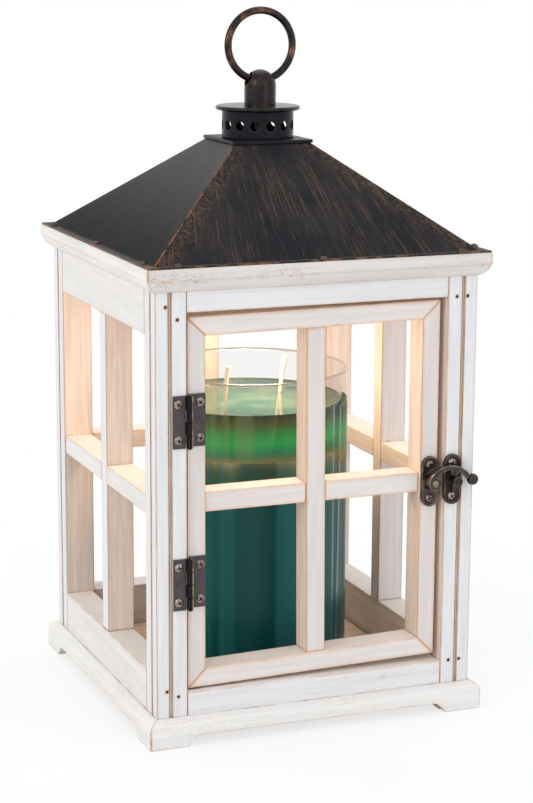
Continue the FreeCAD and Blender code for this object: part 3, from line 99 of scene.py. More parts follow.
class Finish:
    """A material, or the world, whose nodes are made by sums and by node()."""

    def __init__(self, name, world=False):
        self.owner = (bpy.data.worlds if world else bpy.data.materials).new(name)
        self.owner.use_nodes = True
        self.tree = self.owner.node_tree
        self.tree.nodes.clear()
        self.surface = self.node("ShaderNodeOutputWorld" if world else "ShaderNodeOutputMaterial", out=None)
        self.axes = None

    def node(self, kind, settings=None, sockets=(), out=0):
        """A node with its settings and what its sockets get; gives one of its outputs, or the node."""
        made = self.tree.nodes.new(kind)
        for name, value in (settings or {}).items():
            if name == "stops":
                ramp = made.color_ramp
                while len(ramp.elements) < len(value):
                    ramp.elements.new(0.5)
                for stop, (place, colour) in zip(ramp.elements, value):
                    stop.position = place
                    stop.color = (*colour, 1)
            else:
                setattr(made, name, value)
        pairs = sockets.items() if isinstance(sockets, dict) else enumerate(sockets)
        for name, value in pairs:
            self.feed(made.inputs[name], value)
        return made if out is None else Wire(self, made.outputs[out])

    def feed(self, socket, value):
        if isinstance(value, Wire):
            self.tree.links.new(value.socket, socket)
        elif isinstance(value, tuple) and socket.type == "RGBA":
            socket.default_value = (*value, 1)
        else:
            socket.default_value = value

    def parts(self, vector):
        split = self.node("ShaderNodeSeparateXYZ", None, (vector,), out=None)
        return [Wire(self, output) for output in split.outputs]

    def place(self):
        """Where a point of the piece is along each axis, in millimetres."""
        if self.axes is None:
            metres = self.node("ShaderNodeTexCoord", out="Object")
            self.axes = self.parts(self.node("ShaderNodeVectorMath", {"operation": "SCALE"},
                                             {"Vector": metres, "Scale": 1 / MM}))
        return self.axes

    def normal(self):
        return self.parts(self.node("ShaderNodeTexCoord", out="Normal"))

    def spot(self, x, y, z):
        return self.node("ShaderNodeCombineXYZ", sockets=(x, y, z))

    def stretched(self, axis, along, across=1.0):
        """The place on the piece, in other steps along one axis than across it."""
        steps = (along if name == axis else across for name in AXES)
        return self.spot(*(part * step for part, step in zip(self.place(), steps)))

    def noise(self, spot, scale, detail=2.0, rough=0.5, twist=0.0):
        return self.node("ShaderNodeTexNoise", None, {
            "Vector": spot, "Scale": scale, "Detail": detail, "Roughness": rough, "Distortion": twist})

    def mottle(self, scale, detail=3.0, rough=0.6):
        """Noise of one size along all the axes of the piece."""
        return self.noise(self.spot(*self.place()), scale, detail, rough)

    def blend(self, amount, first, second):
        return self.node("ShaderNodeMix", {"data_type": "RGBA"}, {0: amount, 6: first, 7: second}, out=2)

    def ramp(self, stops, amount):
        return self.node("ShaderNodeValToRGB", {"stops": stops}, {"Fac": amount})

    def edges(self, reach):
        """Grows from 0 on a flat to about 0.3 at a right-angled edge."""
        rounded = self.node("ShaderNodeBevel", {"samples": 6}, {"Radius": reach * MM})
        flat = self.node("ShaderNodeNewGeometry", out="True Normal")
        both = (rounded, flat)
        return 1 - self.node("ShaderNodeVectorMath", {"operation": "DOT_PRODUCT"}, both, out="Value")

    def crevices(self, reach):
        """Grows from 0 in the open to 1 deep in a crevice."""
        reached = {"Distance": reach * MM}
        return 1 - self.node("ShaderNodeAmbientOcclusion", {"samples": 8}, reached, out="AO")

    def bump(self, height, strength, depth):
        sockets = {"Height": height, "Strength": strength, "Distance": depth * MM}
        return self.node("ShaderNodeBump", None, sockets)

    def shader(self, **sockets):
        """A principled shader; base_color goes to its Base Color, and so on."""
        named = {}
        for name, value in sockets.items():
            named[name.replace("_", " ").title().replace("Ior", "IOR")] = value
        return self.node("ShaderNodeBsdfPrincipled", None, named)

    def mixed(self, amount, first, second):
        return self.node("ShaderNodeMixShader", None, (amount, first, second))

    def rays(self, *kinds):
        """1 for a ray of any of these kinds."""
        path = self.node("ShaderNodeLightPath", out=None)
        first, *rest = [Wire(self, path.outputs[f"Is {kind} Ray"]) for kind in kinds]
        for other in rest:
            first = first.most(other)
        return first

    def show(self, shader):
        self.tree.links.new(shader.socket, self.surface.inputs["Surface"])
        return self.owner


def shaded(colour, share):
    return tuple(channel * share for channel in colour)


# ---------------------------------------------------------------- wood finishes

PALE_PINE, RAW_PINE = (0.82, 0.64, 0.51), (0.69, 0.50, 0.375)
BARE_PINE = (0.96, 0.74, 0.54), (0.84, 0.60, 0.40)
TAN_PINE, RUBBED_PINE = (0.62, 0.36, 0.20), (0.46, 0.26, 0.14)
ORANGE_PINE, SOFT_TAN = (0.80, 0.46, 0.25), (0.66, 0.50, 0.38)
KNOT_BROWN, SPECK_BROWN, HAIR_TAN = (0.34, 0.20, 0.12), (0.42, 0.30, 0.22), (0.50, 0.375, 0.28)
GRIME_BROWN, GROOVE_BROWN, DIRT_AND_CREVICE_SHADE = (0.36, 0.24, 0.15), (0.34, 0.215, 0.145), (0.055, 0.038, 0.030)
COLD_WHITE, PAINTED_TOP_LIGHT = (0.775, 0.775, 0.80), (0.93, 0.86, 0.80)

TOP_WASH = 0.78     # how much of the wash a level piece has on its top
BARE_WASH = 0.34    # how much of it is left on the other faces


def whitewash(name, grain, painted=AXES, outside="", paint=COLD_WHITE, worn=0.25, grime=0.0,
              edge_tone=TAN_PINE, wear=1.5):
    """Pine under a thin white wash.

    The painted axes have it on both their faces, the outside axes only on the one that looks out of the
    lantern, and a level piece thinly on its top. The other faces are nearly bare.
    """
    f = Finish(name)
    x, y, z = place = f.place()
    normal = f.normal()
    facing = [abs(part) for part in normal]
    fibres = f.stretched(grain, 0.045)
    rings = f.noise(fibres, 0.42, 3.0, 0.55, 0.4)
    strands = f.noise(fibres, 1.5, 2.0, 0.6)
    clouds = f.noise(f.stretched(grain, 0.245, 1.2), 0.06, 3.0, 0.6)
    wood = f.blend(rings.over(0.35, 0.68), PALE_PINE, RAW_PINE)
    wash = f.blend(rings.over(0.30, 0.66), paint, shaded(paint, 0.91))
    cover = 1 - strands.over(0.60, 0.76) * clouds.over(0.40, 0.60) * 0.42 - clouds.over(0.58, 0.75) * 0.14
    shown = sum(facing[AXES.index(axis)] for axis in painted)
    if grain != "z":
        shown = shown + normal[2] * TOP_WASH
    for axis in map(AXES.index, outside):
        shown = (normal[axis] * place[axis].maths("SIGN", place[axis])).most(shown)
    cover = cover * (shown.over(0.5, 0.9) * (1 - BARE_WASH) + BARE_WASH)
    colour = f.blend(cover, wood, wash)
    # the tops of the level pieces are painted lighter and warmer: painted light falling on them from above
    if grain != "z" and "z" not in painted:
        colour = f.blend(normal[2].over(0.6, 0.9) * 0.58, colour, PAINTED_TOP_LIGHT)
    # knots, specks, dark hairs and patches of grime
    knots = f.node("ShaderNodeTexVoronoi", None, {"Vector": f.stretched(grain, 0.55), "Scale": 0.019},
                   out="Distance")
    colour = f.blend((1 - knots.over(0.018, 0.04)) * 0.5, colour, KNOT_BROWN)
    colour = f.blend(f.mottle(0.9, 2.0, 0.7).over(0.69, 0.79) * 0.42, colour, SPECK_BROWN)
    hairs = f.noise(fibres, 3.4, 1.0, 0.5).over(0.62, 0.72) * clouds.over(0.44, 0.64)
    colour = f.blend(hairs * 0.5, colour, HAIR_TAN)
    if grime:
        scratches = f.noise(f.spot(x * 0.8 + z, y * 0.8 + z, z * 0.5), 1.25, 4.0, 0.7)
        soiled = scratches.over(0.52, 0.66) * clouds.over(0.46, 0.60) * grime
        colour = f.blend(soiled, colour, GRIME_BROWN)
    # wash rubbed through along the edges; dark dashes in the crevices, partly dirt in the joints and partly
    # painted shade; brown on the slanting faces of the grooves and corners
    patches = f.mottle(0.12, 3.0, 0.65)
    rubbed = f.edges(wear).over(0.010, 0.07) * (patches.over(0.36, 0.56) * (1 - worn) + worn)
    colour = f.blend(rubbed, colour, f.blend(patches.over(0.50, 0.74) * 0.8, edge_tone, RUBBED_PINE))
    dirt_and_shade_dashes = f.noise(fibres, 2.4, 2.0, 0.5).over(0.50, 0.62) * f.crevices(1.6).over(0.22, 0.55)
    colour = f.blend(dirt_and_shade_dashes * (0.6 if grain == "z" else 0.9), colour, DIRT_AND_CREVICE_SHADE)
    grooves = (facing[0] * facing[1]).over(0.22, 0.42)
    colour = f.blend(grooves * (strands.over(0.3, 0.7) * 0.4 + 0.6), colour, GROOVE_BROWN)
    relief = f.bump(rings * 0.4 + strands * 0.6, 0.35, 0.12)
    return f.show(f.shader(base_color=colour, roughness=0.62, normal=relief))


def raw_pine():
    """Unpainted pine with its grain from left to right."""
    f = Finish("floor_pine")
    rings = f.noise(f.stretched("x", 0.05), 0.30, 3.0, 0.55, 0.5)
    return f.show(f.shader(base_color=f.blend(rings.over(0.35, 0.65), *BARE_PINE), roughness=0.7,
                           specular_ior_level=0.2, normal=f.bump(rings, 0.3, 0.15)))


# ---------------------------------------------------------------- metal finishes

# The folded roof: the height and thickness of its sheet, half the width of its flange, of its slopes and
# of their upper edge, how far they rise, and the fan in which the brush strokes on them spread.
SHEET_TOP, SHEET_THICKNESS = 225.0, 0.8
FLANGE_HALF, SLOPE_HALF, NECK_HALF, SLOPE_RISE = 84.8, 80.3, 19.6, 46.5
FAN_HEIGHT, FAN_REACH = 385.0, 140.0
OLD_COPPER, WORN_GOLD, DISC_COPPER = (0.30, 0.125, 0.055), (0.215, 0.122, 0.056), (0.40, 0.175, 0.088)
ROOF_BLACKS = (0.0150, 0.0162, 0.0205), (0.0235, 0.0245, 0.0290)
SIDE_BLACK_TO_SHEEN = (0.0020, 0.0025, 0.0040), (0.096, 0.098, 0.102)
BRONZE_BLACKS = (0.006, 0.006, 0.007), (0.022, 0.018, 0.018)
ENAMEL_BLACK, ENAMEL_EDGE_HIGHLIGHT = (0.0050, 0.0058, 0.0085), (0.060, 0.066, 0.082)
FLANGE_HIGHLIGHT, CREVICE_SHADE, SLOT_SHADE = (0.105, 0.108, 0.115), (0.006, 0.005, 0.005), (0.004, 0.004, 0.004)


def roof_finish():
    """Black bronze, its front and back slopes brushed through to copper, its hips and rim rubbed."""
    f = Finish("roof_bronze")
    x, y, z = f.place()
    facing_x, facing_y = (abs(part) for part in f.normal()[:2])
    sideways = (facing_x - facing_y).over(-0.02, 0.02)
    across = x * (1 - sideways) + y * sideways
    out = abs(x).most(abs(y))
    hip = SLOPE_HALF - (z - SHEET_TOP) * ((SLOPE_HALF - NECK_HALF) / SLOPE_RISE) - abs(across)
    dust = f.mottle(2.2, 2.0, 0.75)
    clouds = f.mottle(0.03)
    rubbing = f.mottle(0.16, 3.0, 0.65)
    sheen = f.noise(f.spot(x * 0.1, y * 0.1 + z * 0.1, z * 0.1), 0.6, 2.0, 0.5)
    # brush strokes that spread downwards, and scuffs beside the hips
    fan = across * FAN_REACH / (FAN_HEIGHT - z)
    sheet = sideways * 90
    long_strokes = f.noise(f.spot(fan, z * 0.022, sheet), 1.35, 2.0, 0.5)
    fine_strokes = f.noise(f.spot(fan, z * 0.035, sheet + 40), 3.1, 2.0, 0.55)
    gaps = f.noise(f.spot(fan * 0.35, z * 0.06, sheet + 7), 0.7, 3.0, 0.6)
    brushed = f.noise(f.spot(fan * 1.4 + z * 0.5, z * 0.05, sheet + 9), 2.4, 3.0, 0.6)
    strokes = long_strokes.over(0.53, 0.67) * gaps.over(0.40, 0.62) * 0.62
    strokes = strokes.most(fine_strokes.over(0.53, 0.71) * gaps.over(0.28, 0.64) * 0.50)
    strokes = strokes * (dust.over(0.30, 0.62) * 0.7 + 0.3)
    strokes = strokes + dust.over(0.56, 0.74) * clouds.over(0.3, 0.6) * 0.22
    scuffs = f.noise(f.spot(x * 0.7 + z * 0.9, y * 0.2, z * 0.3 - x * 0.2), 1.3, 3.0, 0.7)
    strokes = strokes.most((1 - hip.over(1.0, 17.0)) * scuffs.over(0.46, 0.66) * 0.55)
    strokes = strokes * (1 - sideways * 0.74)
    # bare copper on the hips and the rim
    hips = (1 - hip.over(0.2, 1.0)) * rubbing.over(0.42, 0.62) * 0.75
    rim = out.over(FLANGE_HALF - 0.8, FLANGE_HALF - 0.2) * rubbing.over(0.46, 0.62) * 0.7
    # the side slopes are smoother and carry a painted sheen that grows paler upwards, and their flange has
    # a painted highlight
    painted_sheen = z.over(SHEET_TOP - 5, SHEET_TOP + 55) * (brushed.over(0.25, 0.75) * 0.42 + sheen * 0.3 + 0.45)
    dark = f.blend(sideways, f.blend(clouds.over(0.35, 0.7), *ROOF_BLACKS), f.blend(painted_sheen, *SIDE_BLACK_TO_SHEEN))
    low = 1 - z.over(SHEET_TOP + 0.5, SHEET_TOP + 1.3)
    dark = f.blend(low * sideways * out.over(SLOPE_HALF + 0.7, SLOPE_HALF + 1.3), dark, FLANGE_HIGHLIGHT)
    colour = f.blend(hips.most(rim), f.blend(strokes, dark, WORN_GOLD), OLD_COPPER)
    relief = f.bump(long_strokes + fine_strokes, 0.12, 0.05)
    return f.show(f.shader(base_color=colour, roughness=0.36 + dust * 0.07 + sheen * 0.08,
                           specular_ior_level=0.025, normal=relief))


def enamel(name, rough=0.18):
    """Glossy black enamel with a painted grey highlight along the edges."""
    f = Finish(name)
    clouds = f.mottle(0.10)
    edge = f.edges(0.7).over(0.02, 0.14) * (clouds.over(0.35, 0.6) * 0.6 + 0.4)
    colour = f.blend(edge, f.blend(clouds, ENAMEL_BLACK, shaded(ENAMEL_BLACK, 1.6)), ENAMEL_EDGE_HIGHLIGHT)
    return f.show(f.shader(base_color=colour, roughness=clouds * 0.08 + rough, specular_ior_level=0.13))


def rubbed_bronze(name, edge_rub, mottled):
    """Polished dark bronze with coppery patches."""
    f = Finish(name)
    clouds = f.noise(f.stretched("z", 0.6), 0.16, 4.0, 0.65)
    flecks = f.noise(f.stretched("z", 0.3), 0.9, 3.0, 0.65)
    copper = clouds.over(0.44, 0.72) * mottled + flecks.over(0.60, 0.74) * mottled * 0.5
    copper = copper.most(f.edges(0.8).over(0.02, 0.12) * clouds.over(0.34, 0.52) * edge_rub)
    colour = f.blend(copper, f.blend(flecks.over(0.3, 0.7), *BRONZE_BLACKS), DISC_COPPER)
    return f.show(f.shader(base_color=colour, metallic=0.85, roughness=0.24 + flecks * 0.14,
                           coat_weight=0.16, coat_roughness=0.10, normal=f.bump(flecks, 0.12, 0.05)))


def aged_metal(name, dark, bright, shine, edge_reach, rough, slotted=False):
    """A darkened metal whose edges are rubbed bright, with painted shade in its corners and in its slots.
    """
    f = Finish(name)
    clouds = f.mottle(0.22)
    grain = f.mottle(1.6, 2.0)
    worn = f.edges(edge_reach).over(0.02, 0.16) * (clouds.over(0.35, 0.6) * 0.7 + 0.3)
    colour = f.blend(clouds.over(0.35, 0.65), dark, shaded(dark, 1.8))
    colour = f.blend(grain.over(0.6, 0.75) * 0.25, colour, bright)
    colour = f.blend(worn, colour, bright)
    # painted shade darkens the corners and hollows
    colour = f.blend(f.crevices(1.4).over(0.30, 0.84) * (0.9 if slotted else 0.85), colour, CREVICE_SHADE)
    # on screws, the faces inside the cross are painted black: painted shade in the slots
    if slotted:
        cross = f.node("ShaderNodeAttribute", {"attribute_name": "cross"}, out="Fac")
        colour = f.blend(cross, colour, SLOT_SHADE)
    return f.show(f.shader(base_color=colour, metallic=shine, roughness=grain * 0.2 + (rough - 0.1),
                           normal=f.bump(grain, 0.2, 0.03)))


HINGE_AXIS, BARREL_REACH = (-64.0, -81.5), (4.2, 6.2)
LEAF_GREYS = (0.085, 0.070, 0.068), (0.060, 0.056, 0.064)
LEAF_BRUSHED, LEAF_WORN = (0.16, 0.125, 0.105), (0.34, 0.235, 0.16)
BARREL_SHADE_AND_HIGHLIGHT = (0.012, 0.010, 0.010), (0.50, 0.38, 0.25)


def hinge_finish():
    """Gunmetal leaves, and a barrel painted near black as painted shade, with a painted brassy highlight on
    its side that looks right.
    """
    f = Finish("hinge_steel")
    x, y, z = f.place()
    looks_right = f.normal()[0]
    clouds = f.mottle(0.20)
    brushed = f.noise(f.spot(x * 1.5, y, z * 0.12), 1.2, 3.0, 0.6)
    square = (x - HINGE_AXIS[0]) ** 2 + (y - HINGE_AXIS[1]) ** 2
    leaf = f.blend(clouds.over(0.35, 0.65), *LEAF_GREYS)
    leaf = f.blend(brushed.over(0.52, 0.7) * 0.35, leaf, LEAF_BRUSHED)
    leaf = f.blend(f.edges(0.6).over(0.03, 0.18) * clouds.over(0.38, 0.6) * 0.7, leaf, LEAF_WORN)
    # the barrel is painted near black as painted shade, with a painted highlight where it looks to the
    # right
    barrel_highlight = looks_right.over(0.30, 0.48) * (1 - looks_right.over(0.72, 0.88)) * brushed.over(0.30, 0.5)
    colour = f.blend(1 - square.over(*BARREL_REACH), leaf, f.blend(barrel_highlight, *BARREL_SHADE_AND_HIGHLIGHT))
    # painted shade darkens the crevices round the knuckles and the leaves
    colour = f.blend(f.crevices(1.2).over(0.35, 0.9) * 0.8, colour, CREVICE_SHADE)
    return f.show(f.shader(base_color=colour, metallic=0.75, roughness=brushed * 0.2 + 0.30,
                           normal=f.bump(brushed, 0.15, 0.04)))


def plain_finish(name, colour, rough, metallic=0.0, unevenness=0.12, scale=0.4):
    """A plain manufactured finish with a little unevenness."""
    f = Finish(name)
    grain = f.mottle(scale)
    shade = f.blend(grain.over(0.3, 0.7), shaded(colour, 1 - unevenness), colour)
    return f.show(f.shader(base_color=shade, roughness=grain * 0.12 + (rough - 0.06), metallic=metallic,
                           normal=f.bump(grain, 0.1, 0.04)))


# ---------------------------------------------------------------- candle finishes

# The middle of the glass and the height of its lip, and the heights that the wax changes colour between.
JAR_MIDDLE, JAR_LIP = (-3.5, 2.5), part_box("candle_jar")[1][2] / MM
WAX_FOOT, WAX_TOP, MELT_FOOT, MELT_TOP = 20.0, 122.0, 120.0, 145.0
# the wax and the melt glow a little: painted light standing in for the bulb shining through them
PAINTED_WAX_GLOW, PAINTED_MELT_GLOW = 0.14, 0.16
TEAL_TONES = ((0.0, (0.0010, 0.060, 0.058)), (0.50, (0.0020, 0.078, 0.078)), (0.80, (0.007, 0.088, 0.080)),
              (0.89, (0.036, 0.098, 0.052)), (0.945, (0.075, 0.120, 0.050)), (0.975, (0.20, 0.185, 0.080)),
              (1.0, (0.36, 0.31, 0.14)))
MELT_TONES = ((0.08, (0.185, 0.165, 0.070)), (0.15, (0.050, 0.160, 0.075)), (0.24, (0.010, 0.185, 0.085)),
              (0.42, (0.010, 0.330, 0.070)), (0.62, (0.024, 0.215, 0.042)), (0.80, (0.060, 0.072, 0.020)),
              (0.95, (0.022, 0.034, 0.012)))
JAR_SIDE_TONES = ((0.0, (0.0015, 0.054, 0.050)), (0.64, (0.006, 0.078, 0.072)),
                  (0.76, (0.060, 0.095, 0.045)), (0.80, (0.20, 0.185, 0.080)),
                  (0.83, (0.012, 0.170, 0.080)), (0.90, (0.014, 0.240, 0.060)),
                  (0.96, (0.020, 0.060, 0.020)), (1.0, (0.012, 0.020, 0.010)))
TEAL_REFLECTION, TEAL_SHADOW, WAX_FACE = (0.028, 0.145, 0.145), (0.0, 0.030, 0.032), (0.085, 0.130, 0.070)
MELT_REFLECTION_OLIVE, MELT_SHADOW = (0.19, 0.25, 0.085), (0.012, 0.022, 0.012)
POOL_GREENS, POOL_SHADOW = ((0.034, 0.106, 0.084), (0.150, 0.182, 0.142)), (0.022, 0.040, 0.026)
GLASS_TINT, MELT_TINT = (0.953, 0.950, 0.943), (0.93, 0.90, 0.82)
GLASS_SHINE, GLASS_SHADE_LINES = (0.90, 0.91, 0.90), ((0.10, 0.10, 0.095), (0.19, 0.18, 0.165))


def see_through(f, tint, gloss, amount):
    """A clear body of a tint with a glossy skin. Light from the lamps and from the walls passes it."""
    clear = f.node("ShaderNodeBsdfTransparent", None, {"Color": tint})
    return f.show(f.mixed(amount * (1 - f.rays("Shadow", "Diffuse")), clear, gloss))


def jar_glass():
    """Clear glass: it shines where it turns away, and its lip and its sides have dark lines of painted
    shade.

    Where it holds wax, its sides are painted with the colour and the painted glow of the wax, which such
    glass bends outwards.
    """
    f = Finish("clear_jar_glass")
    z = f.place()[2]
    film = f.mottle(0.05, 2.0, 0.5)
    wax = f.ramp(JAR_SIDE_TONES, (z - WAX_FOOT) / (MELT_TOP - WAX_FOOT))
    body = f.shader(base_color=wax, roughness=0.3, specular_ior_level=0.2, emission_color=wax,
                    emission_strength=PAINTED_WAX_GLOW)
    shine = f.shader(base_color=GLASS_SHINE, metallic=1.0, roughness=film * 0.02 + 0.015)
    shade = f.shader(base_color=f.blend(film, *GLASS_SHADE_LINES), roughness=0.2)
    turned = f.node("ShaderNodeLayerWeight", None, {"Blend": 0.5}, out="Facing")
    # dark lines of painted shade along the lip and the sides
    shade_lines = (z.over(JAR_LIP - 1.4, JAR_LIP - 0.8) * 0.8).most(turned.over(0.88, 0.97))
    filled = z.over(WAX_FOOT - 1, WAX_FOOT) * (1 - z.over(MELT_TOP - 1, MELT_TOP - 0.2))
    # the sides that hold wax are painted with the wax's colour and its painted glow, as the glass would
    # bend it into view
    painted_wax_view = turned.over(0.60, 0.65) * (1 - turned.over(0.86, 0.94)) * filled
    glass = f.mixed(painted_wax_view, f.mixed(shade_lines * 0.8, shine, shade), body)
    skin = (turned ** 6.0 * (1 - filled * 0.7) * 0.50).most(shade_lines * 0.66 * (1 - filled * 0.45))
    return see_through(f, GLASS_TINT, glass, skin.most(painted_wax_view * 0.96))


def round_the_jar(f, reach, shift=0.0):
    """Uneven upright bands, the same all the way up."""
    x, y, _ = f.place()
    across, along = x + (shift - JAR_MIDDLE[0]), y - JAR_MIDDLE[1]
    return f.noise(f.spot(across * reach, along * reach, 3.0), 1.0, 2.0, 0.5)


def sway(f, scale):
    """A slow rise and fall round the candle, about 0."""
    x, y, _ = f.place()
    return f.noise(f.spot(x, y, 0.0), scale, 2.0, 0.5) - 0.5


def melted_wax():
    """Clear green liquid, olive under its surface and bright green towards its foot, with upright bands of
    painted reflection, painted shadow towards the right and a painted glow.
    """
    f = Finish("melted_wax")
    x, _, z = f.place()
    top = abs(f.normal()[2]).over(0.6, 0.9)
    height = (z - MELT_FOOT) / (MELT_TOP - MELT_FOOT) + sway(f, 0.03) * 0.16
    side = f.ramp(MELT_TONES, height)
    # upright bands of painted reflection, then painted shadow towards the right
    side = f.blend(round_the_jar(f, 0.09).over(0.50, 0.60) * 0.32, side, MELT_REFLECTION_OLIVE)
    side = f.blend(x.over(16.0, 36.0) * height.over(0.50, 0.90) * 0.85, side, MELT_SHADOW)
    pool = f.blend(round_the_jar(f, 0.05).over(0.35, 0.65), *POOL_GREENS)
    pool = f.blend(x.over(20.0, 42.0) * 0.72, pool, POOL_SHADOW)
    colour = f.blend(top, side, pool)
    liquid = f.shader(base_color=colour, roughness=0.03, specular_ior_level=0.35, emission_color=colour,
                      emission_strength=PAINTED_MELT_GLOW)
    return see_through(f, MELT_TINT, liquid, 0.94 - top * 0.24)


def solid_wax():
    """Teal wax, painted yellow green where the light gets in from the melted wax above, and given a painted
    glow.
    """
    f = Finish("teal_wax")
    x, _, z = f.place()
    height = (z - WAX_FOOT) / (WAX_TOP - WAX_FOOT) + sway(f, 0.045) * 0.06
    height = height + x.over(15.0, 46.0) * z.over(95.0, 118.0) * 0.05
    colour = f.ramp(TEAL_TONES, height)
    # upright bands round the wax: lighter ones of painted reflection, and darker ones of painted shade
    colour = f.blend(round_the_jar(f, 0.07).over(0.46, 0.54) * 0.40, colour, TEAL_REFLECTION)
    colour = f.blend((1 - round_the_jar(f, 0.06, 31.0).over(0.46, 0.54)) * 0.55, colour, TEAL_SHADOW)
    colour = f.blend(f.normal()[2].over(0.6, 0.9), colour, WAX_FACE)
    return f.show(f.shader(base_color=colour, roughness=0.34, specular_ior_level=0.2, emission_color=colour,
                           emission_strength=PAINTED_WAX_GLOW))


def cotton():
    """Twisted cotton soaked in wax."""
    f = Finish("wick_cotton")
    x, y, z = f.place()
    twist = f.noise(f.spot(x * 3, y * 3, z * 0.9), 1.1, 3.0, 0.6)
    colour = f.blend(twist.over(0.35, 0.65), (0.90, 0.82, 0.66), (0.76, 0.66, 0.48))
    return f.show(f.shader(base_color=colour, roughness=0.8, normal=f.bump(twist, 0.5, 0.15)))


BULB_FACE = 198.0
MIRROR, DARK, FACE_GLOW = (0.78, 0.77, 0.74), (0.0, 0.0, 0.0), (1.0, 0.80, 0.55)
FROSTED = (1.0, 0.90, 0.74), (0.96, 0.84, 0.66)


def bulb_finish():
    """A mirrored reflector with a glowing face."""
    f = Finish("reflector_bulb")
    face = 1 - f.place()[2].over(BULB_FACE, BULB_FACE + 1.5)
    frost = f.blend(f.mottle(0.6, 2.0, 0.5).over(0.3, 0.7), *FROSTED)
    glow = f.blend(face, DARK, FACE_GLOW)
    return f.show(f.shader(base_color=f.blend(face, MIRROR, frost), metallic=(1 - face) * 0.9,
                           roughness=0.22, emission_color=glow, emission_strength=2.2))


UPRIGHT = whitewash("whitewash_post", "z", "", "xy", (0.755, 0.755, 0.78), worn=0.5)
UPRIGHT_BACK = whitewash("whitewash_upright_back", "z", "", "y", worn=0.4)
UPRIGHT_LEFT = whitewash("whitewash_upright_left", "z", "", "x", worn=0.4)
UPRIGHT_RIGHT = whitewash("whitewash_upright_right", "z", "y", "x", (0.81, 0.77, 0.765), worn=0.4)
LEVEL_X = whitewash("whitewash_level_front", "x", "", "y", (0.760, 0.757, 0.775))
LEVEL_Y = whitewash("whitewash_level_side", "y", "", "x", (0.765, 0.750, 0.74))
CROWN_X = whitewash("whitewash_crown_front", "x", paint=(0.705, 0.672, 0.662), grime=0.95,
                    edge_tone=SOFT_TAN)
CROWN_Y = whitewash("whitewash_crown_side", "y", paint=(0.785, 0.775, 0.76), grime=0.35, edge_tone=SOFT_TAN)
SKIRT_X = whitewash("whitewash_skirt_front", "x", paint=(0.82, 0.81, 0.80), grime=0.3, edge_tone=SOFT_TAN)
SKIRT_Y = whitewash("whitewash_skirt_side", "y", paint=(0.81, 0.80, 0.78), grime=0.25, edge_tone=SOFT_TAN)
DOOR_UPRIGHT = whitewash("whitewash_door_upright", "z", "y", paint=(0.72, 0.672, 0.655), worn=0.75,
                         edge_tone=ORANGE_PINE, wear=2.2)
DOOR_LEVEL = whitewash("whitewash_door_level", "x", "y", paint=(0.755, 0.705, 0.685), worn=0.75,
                       edge_tone=ORANGE_PINE, wear=2.2)
FLOOR_PINE = raw_pine()
ROOF_BRONZE = roof_finish()
COLLAR_ENAMEL = enamel("collar_enamel")
CAP_ENAMEL = enamel("cap_enamel", rough=0.34)
DISC_BRONZE = rubbed_bronze("disc_bronze", 1.0, 0.10)
RING_BRONZE = rubbed_bronze("ring_bronze", 0.35, 0.46)
FINIAL_BRONZE = rubbed_bronze("finial_bronze", 0.25, 0.12)
HINGE_STEEL = hinge_finish()
LATCH_BRASS = aged_metal("latch_brass", (0.040, 0.036, 0.037), (0.64, 0.45, 0.25), 0.85, 0.9, 0.32)
RIVET_BRASS = aged_metal("rivet_brass", (0.150, 0.115, 0.075), (0.45, 0.35, 0.22), 0.85, 0.6, 0.32)
PIN_BRONZE = aged_metal("catch_bronze", (0.026, 0.020, 0.019), (0.42, 0.27, 0.18), 0.8, 0.8, 0.36)
NICKEL = aged_metal("nickel_plate", (0.24, 0.20, 0.185), (0.80, 0.70, 0.64), 1.0, 0.2, 0.30, slotted=True)
ROOF_NICKEL = aged_metal("roof_screw_nickel", (0.055, 0.045, 0.040), (0.52, 0.41, 0.34), 0.95, 0.3, 0.28,
                         slotted=True)
DARK_FIXING = aged_metal("dark_fixing", (0.035, 0.030, 0.030), (0.30, 0.24, 0.20), 0.8, 0.5, 0.42)
NAIL = plain_finish("nail_rust", (0.10, 0.055, 0.035), 0.7, 0.3, 0.4, 1.5)
ZINC = plain_finish("zinc_strap", (0.62, 0.62, 0.60), 0.38, 1.0, 0.15, 0.3)
CERAMIC = plain_finish("holder_ceramic", (0.86, 0.84, 0.79), 0.55)
BLOCK_PLASTIC = plain_finish("terminal_plastic", (0.84, 0.83, 0.78), 0.45, unevenness=0.06)
SLEEVE = plain_finish("lead_sleeve", (0.80, 0.78, 0.72), 0.8, unevenness=0.3, scale=2.5)
RUBBER = plain_finish("gland_rubber", (0.035, 0.035, 0.036), 0.65, unevenness=0.3, scale=1.2)
JAR_GLASS = jar_glass()
MELT = melted_wax()
WAX = solid_wax()
COTTON = cotton()
BULB = bulb_finish()


# ---------------------------------------------------------------- making pieces

def nothing_selected():
    if bpy.context.object and bpy.context.object.mode != "OBJECT":
        bpy.ops.object.mode_set(mode="OBJECT")
    bpy.ops.object.select_all(action="DESELECT")


def in_hand(piece):
    """Makes a piece the one that the next operator works on."""
    nothing_selected()
    piece.select_set(True)
    bpy.context.view_layer.objects.active = piece
    return piece


def settle(piece, finish, body, node):
    """A finished piece gets its finish, its body and the node it stands for."""
    piece.data.materials.clear()
    piece.data.materials.append(finish)
    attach(piece, body)
    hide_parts(node)


def modify(piece, kind, **settings):
    in_hand(piece)
    step = piece.modifiers.new(kind.lower(), kind)
    for name, value in settings.items():
        setattr(step, name, value)
    bpy.ops.object.modifier_apply(modifier=step.name)
    return piece


def smooth_by_angle(angle):
    bpy.ops.object.shade_smooth_by_angle(angle=math.radians(angle))


